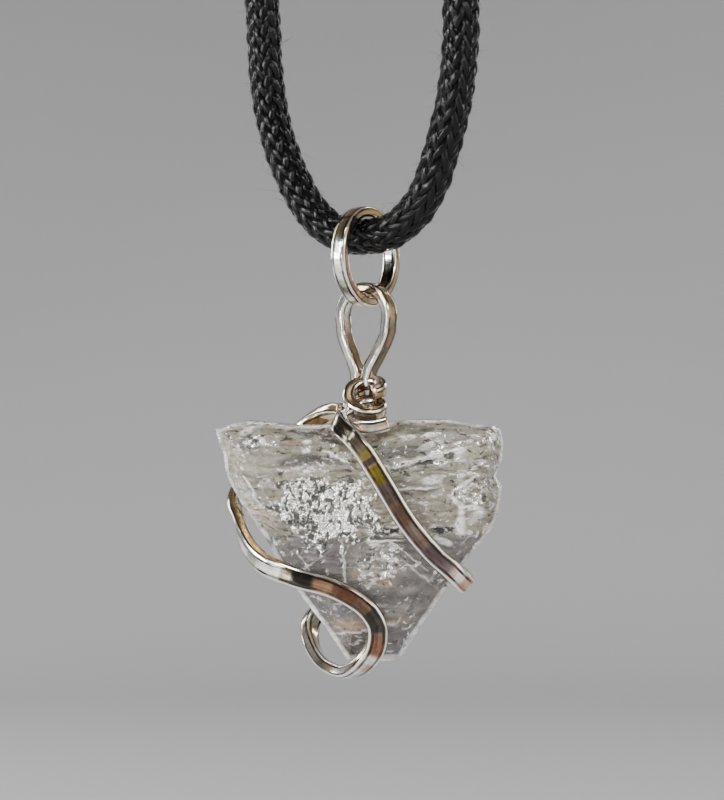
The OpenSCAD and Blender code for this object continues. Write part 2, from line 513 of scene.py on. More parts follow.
@dataclass(frozen=True)
class Silver:
    """Squared silver wire: polished along its four edges, with a painted highlight there and painted shade
    lines beside it, and tarnished on its faces.
    """

    # Polished colour of the edges, which also paints the highlight along them, and painted shade for the
    # lines beside them
    edge_polish_and_highlight: Colour = (0.98, 0.96, 0.91)
    shadow: Colour = (0.05, 0.045, 0.04)
    streak: Colour = (0.9, 0.85, 0.76)
    fleck: Colour = (0.3, 0.25, 0.2)
    cloud_scale: float = 900.0
    speck_scale: float = 3000.0
    scratch_scale: Triple = (70.0, 1.4, 1.0)
    edge: tuple[float, float] = (0.03, 0.055)
    # Place and half width of the painted shade lines beside the edges, measured from each corner
    band_at: float = 0.115
    shade_line_half: float = 0.045
    roughness: float = 0.1
    worn: float = 0.1
    scratch_depth: float = 0.000012
    cloud_depth: float = 0.00003

    def material(self) -> bpy.types.Material:
        """The wire's material, from its Tone attribute and its map round and along.

        The map runs once round the wire, so four times its first number, less the whole
        turns, is 0.5 at each corner. The painted highlight along each edge, over its real
        polish, fades out between the two distances of edge from there, and a painted line of
        shade lies on either side, at the place set for it.

        Returns:
            The material.
        """
        g = Graph("silver_wire")
        run, place = g.run(), g.place()
        cloud = g.noise(place, self.cloud_scale, 4.0, 0.4)
        scratch = g.noise(g.mapped(run, self.scratch_scale), 1.0, 3.0, 0.2)
        speck = g.noise(place, self.speck_scale, 3.0)
        round_wire = g.put(g.node("ShaderNodeSeparateXYZ"), Vector=run).outputs["X"]
        turn = g.math("FRACT", g.math("MULTIPLY", round_wire, 4.0))
        from_corner = g.math("ABSOLUTE", g.math("SUBTRACT", turn, 0.5))
        # Painted highlight along each corner, over the real polish of the edge
        edge = g.range(from_corner, *self.edge, 1.0, 0.0)
        # Painted shade: a dark line on either side of each corner
        inside = g.math("COMPARE", from_corner, self.band_at, self.shade_line_half)
        band = g.math("MULTIPLY", inside, g.range(cloud, 0.35, 0.6, 0.45, 1.0))
        streaks = g.range(scratch, 0.4, 0.7, 0.0, 0.35)
        flecks = g.range(speck, 0.5, 0.75, 0.0, 0.5)
        colour = g.mix(streaks, g.attribute("Tone"), (*self.streak, 1), "SOFT_LIGHT")
        colour = g.mix(flecks, colour, (*self.fleck, 1), "MULTIPLY")
        colour = g.mix(band, colour, (*self.shadow, 1))
        rubbed = g.range(cloud, 0.4, 0.7, 0.0, self.worn)
        scored = g.range(scratch, 0.45, 0.75, 0.0, self.worn)
        height = g.math("ADD", g.math("MULTIPLY", scratch, 0.5), g.math("MULTIPLY", speck, 0.25))
        return g.finish(
            Base_Color=g.mix(edge, colour, (*self.edge_polish_and_highlight, 1)),
            Metallic=1.0,
            Roughness=g.math("ADD", g.math("ADD", rubbed, scored), self.roughness),
            Normal=g.bump(height, self.scratch_depth, 0.6, g.bump(cloud, self.cloud_depth, 0.5)),
        )


@dataclass(frozen=True)
class Steel:
    """Plain brushed steel of the clasp, brushed round the barrel."""

    colour: Colour = (0.62, 0.6, 0.57)
    stain: Colour = (0.4, 0.37, 0.33)
    roughness: float = 0.24
    brush_scale: Triple = (9000.0, 60.0, 60.0)
    cloud_scale: float = 300.0
    brush_depth: float = 0.00002

    def material(self) -> bpy.types.Material:
        """The steel's material, its brush lines running round the barrel.

        Returns:
            The material.
        """
        g = Graph("brushed_steel")
        place = g.place()
        brush = g.noise(g.mapped(place, self.brush_scale), 1.0, 3.0)
        stained = g.range(g.noise(place, self.cloud_scale, 3.0), 0.4, 0.7, 0.0, 0.4)
        return g.finish(
            Base_Color=g.mix(stained, (*self.colour, 1), (*self.stain, 1)),
            Metallic=1.0,
            Roughness=g.math("ADD", g.range(brush, 0.3, 0.7, 0.0, 0.12), self.roughness),
            Normal=g.bump(brush, self.brush_depth, 0.5),
        )


@dataclass(frozen=True)
class Quartz:
    """Clear quartz full of veils, which mirror the light where the crystal is broken; there the splinters
    are also painted white as a glint, and the gaps between them painted dark as shade.
    """

    index: float = 1.54
    clear_most: float = 0.8
    frost: float = 0.08
    # Painted shade for the gaps between splinters, and white that paints the splinters' glint over the real
    # white of broken quartz
    gap_shade: Colour = (0.03, 0.03, 0.03)
    white: Colour = (0.97, 0.97, 0.95)
    grain_scale: float = 1500.0
    strata_scale: Triple = (260.0, 700.0, 1500.0)
    across_scale: Triple = (950.0, 1300.0, 1800.0)
    fine_scale: Triple = (2000.0, 2400.0, 3000.0)
    upright_scale: Triple = (2800.0, 2500.0, 1900.0)
    splinter_above: float = 0.615
    shade_gap_below: float = 0.355
    grain_depth: float = 0.00005
    splinter_depth: float = 0.00024

    def material(self) -> bpy.types.Material:
        """The crystal's material, from its Tint and Veil attributes and fine noise.

        Splinters are where a short noise is high, and dark gaps where it is low. Both grow
        with how broken and how lively the crystal is there. The splinters are painted white, a
        painted glint over the real white of broken quartz, and the gaps are painted shade. The
        noise is drawn out across the crystal, and up and down where it is broken.

        Returns:
            The material.
        """
        g = Graph("quartz")
        place = g.place()
        veil = g.node("ShaderNodeSeparateColor")
        broken, clear, lively = g.put(veil, Color=g.attribute("Veil")).outputs
        grain = g.noise(place, self.grain_scale, 5.0, 0.5)
        strata = g.noise(g.mapped(place, self.strata_scale), 1.0, 4.0, 1.2)
        across = g.noise(g.mapped(place, self.across_scale), 1.0, 2.0, 1.0)
        fine = g.noise(g.mapped(place, self.fine_scale), 1.0, 1.0, 0.8)
        upright = g.noise(g.mapped(place, self.upright_scale), 1.0, 0.7, 0.9)

        # How torn it is, and the short noise there
        ragged = g.math("MULTIPLY", g.math("SUBTRACT", grain, 0.5), 0.8)
        torn = g.range(g.math("ADD", broken, ragged), 0.35, 0.6, 0.0, 1.0)
        crossing = g.math("ADD", g.math("MULTIPLY", across, 0.68), g.math("MULTIPLY", fine, 0.32))
        rise = g.math("MULTIPLY_ADD", g.math("SUBTRACT", upright, crossing), torn, crossing)

        # Splinters that catch the light, painted white as a painted glint over their real gloss, and gaps
        # painted dark as painted shade
        more = g.math("MULTIPLY_ADD", torn, 0.09, g.math("MULTIPLY", lively, 0.08))
        over = g.math("ADD", g.math("SUBTRACT", rise, self.splinter_above), more)
        light = g.range(over, -0.01, 0.065, 0.0, 1.0)
        less = g.math("MULTIPLY_ADD", torn, 0.055, g.math("MULTIPLY", lively, 0.072))
        under = g.math("ADD", g.math("SUBTRACT", self.shade_gap_below, rise), less)
        shade_gap = g.range(under, 0.0, 0.05, 0.0, 1.0)

        grained = g.range(grain, 0.3, 0.7, 0.8, 1.2)
        layered = g.range(strata, 0.38, 0.62, 0.72, 1.3)
        cloud = g.math("MULTIPLY", grained, layered)
        grey = g.put(g.node("ShaderNodeCombineColor"), Red=cloud, Green=cloud, Blue=cloud)
        shade = g.mix(1.0, g.attribute("Tint"), grey.outputs[0], "MULTIPLY")
        # Painted shade in the gaps, then painted glint on the splinters
        shade = g.mix(g.math("MULTIPLY", shade_gap, 0.9), shade, (*self.gap_shade, 1))
        shade = g.mix(g.math("MULTIPLY", light, 0.92), shade, (*self.white, 1))
        height = g.math("ADD", grain, g.math("MULTIPLY", strata, 0.8))
        relief = g.bump(height, self.grain_depth, 0.55)
        rough = g.range(grain, 0.35, 0.65, self.frost, self.frost + 0.2)
        return g.finish(
            Base_Color=shade,
            Metallic=g.math("MULTIPLY", light, 0.75),
            Roughness=g.math("MULTIPLY", rough, g.range(light, 0.0, 1.0, 1.0, 0.3)),
            Transmission_Weight=g.math("MULTIPLY", clear, self.clear_most),
            Normal=g.bump(rise, self.splinter_depth, g.range(torn, 0.0, 1.0, 0.6, 1.0), relief),
            IOR=self.index,
            Coat_Weight=0.35,
            Coat_Roughness=0.06,
        )


@dataclass(frozen=True)
class Paper:
    """Matt pale paper of the floor."""

    colour: Colour = (0.62, 0.62, 0.63)
    roughness: float = 0.9

    def material(self) -> bpy.types.Material:
        """The paper's material."""
        g = Graph("studio_paper")
        return g.finish(Base_Color=(*self.colour, 1), Roughness=self.roughness)


# The cord and its clasp

# The cord's route from the right end of the clasp round to its left end, in millimetres
ROUTE = np.array([
    [13, 0, 3], [15, 0, 3], [17, 0, 3], [22.6, 0, 0.6], [29.2, 0, -7.6], [32.8, 0, -19],
    [33.2, 0, -31], [31.8, -0.3, -45], [28, -0.9, -62], [22.4, -2, -80], [16.4, -3.4, -97],
    [11.6, -4.7, -114], [8.6, -5.3, -129], [7.5, -5.2, -140], [7.4, -5.2, -144],
    [7, -4.9, -148], [6.1, -4.3, -152], [4.7, -3.3, -156], [2.5, -1.7, -158.4],
    [0, 0, -159],
    [-2.6, 1.8, -158.4], [-4.9, 3.4, -156], [-6.8, 4.7, -152], [-7.9, 5.6, -148],
    [-8.4, 5.9, -144], [-8.6, 6, -140], [-9.6, 5.9, -129], [-12.2, 5.1, -114],
    [-16.6, 3.7, -97], [-22.4, 2.2, -80], [-28, 1, -62], [-31.8, 0.3, -45], [-33.2, 0, -31],
    [-32.8, 0, -19], [-29.2, 0, -7.6], [-22.6, 0, 0.6], [-17, 0, 3], [-15, 0, 3], [-13, 0, 3],
])


@dataclass
class BraidedCord:
    """The round braid of waxed strands that the pendant hangs on. Sizes are in millimetres."""

    diameter: float = 3.0
    strands: int = 24
    pitch: float = 17.4
    strand_wide: float = 0.68
    strand_thick: float = 0.4
    wave: float = 0.13
    sway: float = 0.035
    core: float = 2.2
    near_step: float = 0.31
    far_step: float = 0.8
    near_reach: float = 52.0
    section_points: int = 6
    length_samples: int = 2000
    path_samples: int = 6000
    core_rings: int = 220
    core_points: int = 12
    stray_fibres: int = 2600
    fibre_samples: int = 4000
    fibre_spread: float = 900.0
    fibre_margin: int = 160
    fibre_points: int = 6
    fibre_sides: int = 3
    fibre_thick: float = 0.024
    fibre_tip: float = 0.35
    fibre_root: float = 0.12
    fibre_lengths: tuple[float, float] = (0.2, 0.55)
    fibre_long: float = 2.2
    fibre_seed: int = 7

    def length(self) -> float:
        """The cord's real length, in metres, along its smooth route."""
        path = through(ROUTE * MM, self.length_samples)
        return float(np.linalg.norm(np.diff(path, axis=0), axis=1).sum())

    def around(self, path: Points) -> tuple[Points, Points]:
        """Two directions square to a path and to each other, neither of them twisting.

        Args:
            path: The path.

        Returns:
            The nearest direction to +Y that is square to the path, and the one square to both.
        """
        heading = headings(path)
        level = square_to(np.broadcast_to([0.0, 1.0, 0.0], path.shape), heading)
        return level, np.cross(heading, level)

    def places(self) -> Points:
        """Lengths along the cord at which it gets a ring: close together near its bottom.

        Returns:
            The lengths, in millimetres.
        """
        whole = self.length() / MM
        first, last = whole / 2 - self.near_reach, whole / 2 + self.near_reach
        far = int(first / self.far_step)
        near = int(2 * self.near_reach / self.near_step)
        return np.concatenate([
            np.linspace(0, first, far, endpoint=False),
            np.linspace(first, last, near, endpoint=False),
            np.linspace(last, whole, far),
        ])

    def braid(self) -> Surface:
        """The strands, each a flat oval carried along its own winding line.

        Half of the strands wind one way and half the other, one turn in each pitch. A strand
        meets all the others of its kind in a turn and goes over two and under two, so its
        radius is the middle one plus a cosine of a quarter turn for each meeting. Strand k of
        a set starts two meetings further on than strand k - 1, which makes columns of Vs.
        Slow sines move each strand a little in and out and from side to side.

        Returns:
            The strands.
        """
        run = self.places()
        fine = through(ROUTE * MM, self.path_samples)
        whole = np.linspace(0.0, self.length() / MM, len(fine))
        path = np.column_stack([np.interp(run, whole, column) for column in fine.T])
        level, up = self.around(path)
        half = self.strands // 2
        k = np.arange(half)[:, None]
        run = run[None]
        turns = run / self.pitch
        met = self.strands * turns
        angles, radii = [], []
        for way in (1, -1):
            over = way * np.cos(0.5 * np.pi * (2 * k + way * met - 0.5))
            uneven = 0.018 * np.sin(run * 0.31 + 2.4 * k) + 0.012 * np.sin(run * 1.13 + k)
            radii.append(self.diameter / 2 - self.strand_thick / 2 - self.wave * (1 - over) + uneven)
            aside = self.sway * np.sin(run * 0.83 + 1.7 * k * way)
            angles.append(2 * np.pi * (way * turns + k / half) + aside)
        angle = np.concatenate(angles)
        radius = np.concatenate(radii) * MM
        out = np.cos(angle)[..., None] * level + np.sin(angle)[..., None] * up
        middle = path + radius[..., None] * out
        thick, wide = self.strand_thick * MM, self.strand_wide * MM
        section = eased_square(thick, wide, self.section_points, ROUND_POWER)
        return swept(middle, out, section)

    def inner(self) -> Surface:
        """The dark filling inside the braid, a plain round tube.

        Returns:
            The tube.
        """
        path = through(ROUTE * MM, self.core_rings)
        level, _ = self.around(path)
        size = self.core * MM
        return swept(path, level, eased_square(size, size, self.core_points, ROUND_POWER))

    def fibres(self) -> Surface:
        """Stray fibres: each leaves the surface at a shallow angle and curls back on itself.

        A fibre's point at share t is its root plus t times its length along a leaning
        direction, plus t squared times a random bend. About one in four is long.

        Returns:
            All fibres, as thin three-sided tubes.
        """
        rng = np.random.default_rng(self.fibre_seed)
        count, samples = self.stray_fibres, self.fibre_samples
        path = through(ROUTE * MM, samples)
        at = rng.normal(samples / 2, self.fibre_spread, count).astype(int)
        at = np.clip(at, self.fibre_margin, samples - self.fibre_margin)
        level, up = self.around(path)
        angle = rng.uniform(0, 2 * np.pi, count)
        out = np.cos(angle)[:, None] * level[at] + np.sin(angle)[:, None] * up[at]
        heading = headings(path)[at] * rng.choice([-1, 1], count)[:, None]
        size = rng.uniform(*self.fibre_lengths, count)[:, None]
        size = size * rng.choice([1, 1, 1, self.fibre_long], count)[:, None] * MM
        lean = unit(0.55 * out + heading + 0.3 * rng.normal(size=(count, 3)))
        bend = 0.5 * out + 0.45 * rng.normal(size=(count, 3))
        t = np.linspace(0, 1, self.fibre_points)[None, :, None]
        root = path[at] + out * (self.diameter / 2 - self.fibre_root) * MM
        line = root[:, None] + size[:, None] * (t * lean[:, None] + 0.6 * t * t * bend[:, None])
        side = unit(np.cross(lean, out))[:, None] + np.zeros_like(line)
        thick = self.fibre_thick * MM
        section = eased_square(thick, thick, self.fibre_sides, ROUND_POWER)
        taper = np.linspace(1.0, self.fibre_tip, self.fibre_points)[None, :, None, None]
        return swept(line, side, section * taper)

    def make(self, yarn: bpy.types.Material, clasp: bpy.types.Object) -> list[bpy.types.Object]:
        """Args:
            yarn: The strands' material.
            clasp: The clasp, which is on the cord. Not used.

        Returns:
            The cord and its fibres.
        """
        cord = piece("braided_cord", [self.braid(), self.inner()])
        fuzz = piece("cord_fibres", [self.fibres()])
        for obj in (cord, fuzz):
            obj.data.materials.append(yarn)
            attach(obj, Body.LOOP.value)
        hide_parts("cord")
        self.length()
        return [cord, fuzz]


@dataclass
class BarrelClasp:
    """The plain barrel that closes the loop. Sizes are in millimetres."""

    length: float = 26.0
    diameter: float = 6.0
    band_at: float = 4.25
    groove_deep: float = 0.45
    groove_wide: float = 0.5
    groove_reach: float = 1.25
    seam_deep: float = 0.12
    seam_wide: float = 0.09
    seam_reach: float = 0.3
    edge: float = 0.6
    mouth: float = 3.1
    mouth_bevel: float = 0.1
    lip: float = 0.25
    body_rings: int = 241
    seam_rings: int = 25
    groove_rings: int = 40
    section_points: int = 96

    def radius(self, x: Points) -> Points:
        """The barrel's radius at a distance x from its middle, in millimetres.

        A quarter circle at each end, a groove near each end and a hairline seam in the middle
        are taken off a straight barrel. Groove and seam are deep * e^-(distance / wide)^4.

        Args:
            x: Distances from the middle.

        Returns:
            The radii.
        """
        from_end = self.length / 2 - np.abs(x)
        past = np.maximum(self.edge - from_end, 0)
        corner = self.edge - np.sqrt(np.maximum(self.edge**2 - past**2, 0))
        band = self.groove_deep * np.exp(-(((from_end - self.band_at) / self.groove_wide) ** 4))
        seam = self.seam_deep * np.exp(-((x / self.seam_wide) ** 4))
        return self.diameter / 2 - corner - band - seam

    def rings(self) -> tuple[Points, Points]:
        """Places and radii of the rings, closer together at ends, grooves and seam.

        Returns:
            The places along the barrel and the radii, in millimetres.
        """
        half = self.length / 2
        at = half - self.band_at
        reach = self.groove_reach
        x = np.unique(np.concatenate([
            half * np.sin(np.linspace(-np.pi / 2, np.pi / 2, self.body_rings)),
            np.linspace(-self.seam_reach, self.seam_reach, self.seam_rings),
            np.linspace(at - reach, at + reach, self.groove_rings),
            np.linspace(-at - reach, -at + reach, self.groove_rings),
        ]))
        # Each end turns in to the mouth that holds the cord
        mouth = self.mouth / 2
        outer = mouth + self.mouth_bevel
        radius = np.concatenate([[mouth, outer], self.radius(x), [outer, mouth]])
        return np.concatenate([[self.lip - half, -half], x, [half, half - self.lip]]), radius

    def make(self, metal: bpy.types.Material) -> bpy.types.Object:
        """Builds the clasp along X and dresses it.

        Args:
            metal: Its material.

        Returns:
            The clasp.
        """
        x, radius = self.rings()
        angle = np.linspace(0, 2 * np.pi, self.section_points, endpoint=False)
        grid = np.zeros((len(x), len(angle), 3))
        grid[..., 0] = x[:, None]
        grid[..., 1:] = radius[:, None, None] * np.stack([np.cos(angle), np.sin(angle)], axis=-1)
        grid[..., 2] += self.diameter / 2
        uv = np.stack(np.broadcast_arrays(angle / (2 * np.pi), x[:, None]), axis=-1)
        obj = piece("barrel_clasp", [Surface(grid * MM, uv)])
        obj.data.materials.append(metal)
        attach(obj, Body.LOOP.value)
        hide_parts("clasp")
        return obj


# The silver ring and wire


class PatinaAndReflection(Enum):
    """Colours of silver, from polished to warm tarnish; the polished white also serves as painted
    highlight, and the darkest is painted dark reflection and shade.
    """

    POLISH_AND_HIGHLIGHT = (0.97, 0.95, 0.9)
    GOLD = (0.8, 0.55, 0.27)
    COPPER = (0.66, 0.36, 0.21)
    MUSTARD = (0.3, 0.235, 0.015)
    OLIVE = (0.27, 0.235, 0.135)
    GREEN = (0.42, 0.47, 0.41)
    BROWN = (0.27, 0.165, 0.115)
    RUST = (0.25, 0.11, 0.07)
    PLUM = (0.13, 0.085, 0.09)
    DARK_REFLECTION = (0.045, 0.042, 0.04)


# Where each colour lies on a wire: (face, middle of the stretch along the wire and half of
# its length in millimetres, colour, strength). Face 0 looks out of the work, and 1 to 3
# follow it round the wire. The stretches are partly tarnish and partly painted reflection:
# polished white where the wire caught light, the darkest colour where it mirrored shade.
RING_PATINA_AND_REFLECTION = [
    (0, 7.0, 2.0, PatinaAndReflection.GOLD, 0.85), (0, 8.4, 0.7, PatinaAndReflection.OLIVE, 0.6),
    (0, 10.8, 1.4, PatinaAndReflection.POLISH_AND_HIGHLIGHT, 1.0), (0, 12.3, 0.6, PatinaAndReflection.GREEN, 0.8),
    (0, 13.6, 0.9, PatinaAndReflection.POLISH_AND_HIGHLIGHT, 0.9), (0, 4.4, 1.2, PatinaAndReflection.GOLD, 0.95),
    (3, 9.8, 3.6, PatinaAndReflection.COPPER, 0.75), (3, 5.2, 1.8, PatinaAndReflection.GOLD, 0.95),
    (3, 19.0, 2.2, PatinaAndReflection.GOLD, 0.75), (3, 1.0, 1.6, PatinaAndReflection.GOLD, 0.75),
    (2, 19.9, 0.8, PatinaAndReflection.POLISH_AND_HIGHLIGHT, 1.0), (2, 0.6, 1.2, PatinaAndReflection.POLISH_AND_HIGHLIGHT, 1.0),
    (2, 18.0, 0.8, PatinaAndReflection.DARK_REFLECTION, 0.4), (2, 15.6, 1.4, PatinaAndReflection.GOLD, 0.6),
    (2, 5.0, 3.0, PatinaAndReflection.DARK_REFLECTION, 0.6),
]
BAIL_PATINA_AND_REFLECTION = [
    (3, 3.6, 5.2, PatinaAndReflection.POLISH_AND_HIGHLIGHT, 1.0), (3, 16.4, 6.5, PatinaAndReflection.POLISH_AND_HIGHLIGHT, 1.0),
    (0, 2.6, 2.6, PatinaAndReflection.BROWN, 0.7), (0, 5.2, 1.2, PatinaAndReflection.OLIVE, 0.4),
    (0, 6.9, 1.0, PatinaAndReflection.GOLD, 0.8), (0, 8.6, 1.4, PatinaAndReflection.GOLD, 0.85),
    (0, 10.4, 1.0, PatinaAndReflection.OLIVE, 0.8),
    (2, 14.6, 0.9, PatinaAndReflection.COPPER, 0.5), (2, 16.4, 1.2, PatinaAndReflection.GOLD, 0.7),
    (2, 18.8, 1.6, PatinaAndReflection.GOLD, 0.7), (2, 20.6, 1.0, PatinaAndReflection.OLIVE, 0.3),
]
WRAP_PATINA_AND_REFLECTION = [
    (0, 1.0, 1.4, PatinaAndReflection.GOLD, 0.7), (2, 3.4, 1.0, PatinaAndReflection.RUST, 0.9),
    (0, 6.3, 1.2, PatinaAndReflection.POLISH_AND_HIGHLIGHT, 1.0), (0, 8.6, 1.4, PatinaAndReflection.GOLD, 0.5),
    (0, 8.4, 1.2, PatinaAndReflection.PLUM, 0.15), (0, 9.8, 0.6, PatinaAndReflection.GOLD, 0.7),
    # The darkest colour at 17.2 is painted shade over a glint on the bend below the collar.
    (0, 16.9, 2.2, PatinaAndReflection.OLIVE, 0.9), (0, 17.2, 1.1, PatinaAndReflection.DARK_REFLECTION, 0.75),
    (0, 18.9, 0.5, PatinaAndReflection.BROWN, 0.6), (0, 19.6, 0.45, PatinaAndReflection.MUSTARD, 0.75),
    (0, 20.3, 0.3, PatinaAndReflection.PLUM, 0.95),
    (0, 21.5, 0.9, PatinaAndReflection.MUSTARD, 0.9), (0, 23.2, 1.0, PatinaAndReflection.PLUM, 0.8),
    (0, 26.2, 2.3, PatinaAndReflection.BROWN, 0.85), (0, 29.7, 1.5, PatinaAndReflection.PLUM, 0.9),
    (0, 31.2, 0.25, PatinaAndReflection.COPPER, 0.6), (0, 31.8, 0.35, PatinaAndReflection.POLISH_AND_HIGHLIGHT, 1.0),
    (0, 32.6, 0.6, PatinaAndReflection.COPPER, 0.9), (0, 33.8, 0.5, PatinaAndReflection.POLISH_AND_HIGHLIGHT, 1.0),
    (3, 22.0, 10.5, PatinaAndReflection.POLISH_AND_HIGHLIGHT, 0.9), (1, 24.0, 8.0, PatinaAndReflection.GOLD, 0.8),
    (3, 56.5, 2.4, PatinaAndReflection.POLISH_AND_HIGHLIGHT, 0.65), (3, 59.4, 1.0, PatinaAndReflection.GREEN, 0.45),
    (3, 61.4, 1.2, PatinaAndReflection.POLISH_AND_HIGHLIGHT, 1.0), (0, 61.0, 1.2, PatinaAndReflection.GREEN, 0.5),
    (0, 63.2, 1.0, PatinaAndReflection.POLISH_AND_HIGHLIGHT, 0.95), (0, 63.1, 0.4, PatinaAndReflection.COPPER, 0.6),
    (0, 65.2, 1.0, PatinaAndReflection.RUST, 0.95), (0, 67.1, 1.1, PatinaAndReflection.DARK_REFLECTION, 0.96),
    (0, 68.8, 0.8, PatinaAndReflection.BROWN, 0.9), (0, 70.4, 1.2, PatinaAndReflection.RUST, 0.9),
    (0, 72.2, 0.8, PatinaAndReflection.COPPER, 0.85), (0, 73.9, 1.0, PatinaAndReflection.DARK_REFLECTION, 0.98),
    (0, 75.2, 0.5, PatinaAndReflection.OLIVE, 0.9), (0, 76.6, 1.0, PatinaAndReflection.POLISH_AND_HIGHLIGHT, 1.0),
    (0, 78.3, 0.6, PatinaAndReflection.GREEN, 0.9), (0, 80.6, 1.6, PatinaAndReflection.POLISH_AND_HIGHLIGHT, 0.9),
    (3, 64.6, 1.4, PatinaAndReflection.GOLD, 0.5), (3, 68.0, 2.2, PatinaAndReflection.POLISH_AND_HIGHLIGHT, 1.0),
    (3, 76.5, 2.0, PatinaAndReflection.DARK_REFLECTION, 0.7), (3, 80.5, 2.6, PatinaAndReflection.POLISH_AND_HIGHLIGHT, 0.9),
    (1, 78.0, 4.0, PatinaAndReflection.GOLD, 0.85), (1, 71.0, 3.0, PatinaAndReflection.OLIVE, 0.7),
    (1, 84.5, 3.2, PatinaAndReflection.GOLD, 0.6), (0, 84.6, 2.6, PatinaAndReflection.POLISH_AND_HIGHLIGHT, 1.0),
    (3, 94.0, 5.0, PatinaAndReflection.POLISH_AND_HIGHLIGHT, 0.8), (2, 93.5, 5.0, PatinaAndReflection.GOLD, 0.6),
]
TAIL_PATINA = [
    (0, 1.3, 0.9, PatinaAndReflection.COPPER, 0.5), (0, 2.2, 0.5, PatinaAndReflection.PLUM, 0.4), (0, 3.2, 0.6, PatinaAndReflection.GOLD, 0.6),
]


def patina_and_reflection(run: Points, section_points: int, stretches: list, seed: int) -> Points:
    """The colours round and along a squared wire.

    Slow noise along each face mixes polished metal with gold and brown. The listed stretches
    are then laid over it, each full in its middle and fading at its ends; they are partly
    tarnish and partly painted reflection, polished white where the wire caught light and
    dark where it mirrored shade. Darker streaks along the wire lie over both.

    Args:
        run: Length along the wire at each row, in millimetres.
        section_points: Points round the wire.
        stretches: Rows of (face, middle, half length, colour, strength).
        seed: Picks the noise.

    Returns:
        One colour for each row and point.
    """
    polished, gold = np.array(PatinaAndReflection.POLISH_AND_HIGHLIGHT.value), np.array(PatinaAndReflection.GOLD.value)
    point = np.arange(section_points)
    face = np.round(point * 4 / section_points) % 4
    at = np.stack(np.broadcast_arrays(run[:, None], face * FACE_APART, 0.0), axis=-1)
    warm = ease(value_noise(at, 2.3, seed), -0.5, 0.3)[..., None]
    deep = ease(value_noise(at, 1.4, seed + 1), 0.0, 0.5)[..., None]
    tone = polished + 0.8 * warm * (gold - polished)
    tone = tone + 0.75 * deep * (PatinaAndReflection.BROWN.value - tone)
    for on, middle, half, colour, strength in stretches:
        share = 1 - ease(np.abs(run - middle) / half, 0.7, 1.15)
        share = strength * share[:, None] * (face == on)
        tone = tone + share[..., None] * (colour.value - tone)
    at = np.stack(np.broadcast_arrays(0.4 * run[:, None], point * 14 / section_points, 0.0), axis=-1)
    streak = ease(value_noise(at, 1, seed + 2), 0.0, 0.6)
    tone = tone * (1 - 0.4 * streak)[..., None]
    return np.concatenate([tone, np.ones_like(tone[..., :1])], axis=-1)


@dataclass
class JumpRing:
    """The closed ring of squared wire between the cord and the bail, in millimetres."""

    inside_radius: float = 3.2
    thick: float = 0.85
    wide: float = 1.35
    centre_z: float = -160.6
    out_of_round: float = 0.012
    out_of_flat: float = 0.02
    hammering: float = 0.012
    steps: int = 400
    section_points: int = 32
    patina_seed: int = 71

    def make(self, metal: bpy.types.Material) -> bpy.types.Object:
        """Builds the ring round its level axis, a little out of true, and dresses it.

        Its middle line is a circle whose radius changes with a sine of three times the angle,
        and which leaves its plane with a sine of twice the angle.

        Args:
            metal: Its material.

        Returns:
            The ring.
        """
        angle = np.linspace(0, 2 * np.pi, self.steps + 1)[:-1, None]
        out = np.cos(angle) * THROUGH + np.sin(angle) * UP
        radius = self.inside_radius + self.thick / 2 + self.out_of_round * np.sin(3 * angle + 1)
        aside = self.out_of_flat * np.sin(2 * angle + 0.5)
        path = self.centre_z * UP + radius * out + aside * ACROSS
        section = eased_square(self.thick, self.wide, self.section_points, WIRE_POWER)[None]
        hammered = 1 + self.hammering * value_noise(path, 0.9, 3)[:, None, None]
        side = np.cross(headings(path), out)
        offset = section[..., :1] * out[:, None] + section[..., 1:] * side[:, None]
        share = np.arange(self.section_points) / self.section_points
        run = angle * self.inside_radius
        uv = np.stack(np.broadcast_arrays(share, run), axis=-1)
        tones = patina_and_reflection(run[:, 0], self.section_points, RING_PATINA_AND_REFLECTION, self.patina_seed)
        points = (path[:, None] + offset * hammered) * MM
        ring = Surface(points, uv, looped=True, colours={"Tone": tones})
        obj = piece("jump_ring_worn", [ring])
        obj.data.materials.append(metal)
        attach(obj, Body.RING.value)
        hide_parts("jump_ring")
        return obj


# The bail in its own plane, from the cut end of its right stem over the top to its left
# stem inside the collar: [across, up from the middle of the round top]
BAIL_RIGHT = [[0.24, -5.7], [0.26, -4.9], [0.5, -4.2], [1, -3.4], [1.62, -2.4], [2.1, -1.4]]
BAIL_LEFT = [[-2.12, -1.4], [-1.74, -2.4], [-1.28, -3.4], [-0.92, -4.2], [-0.78, -4.9], [-0.76, -6.6]]

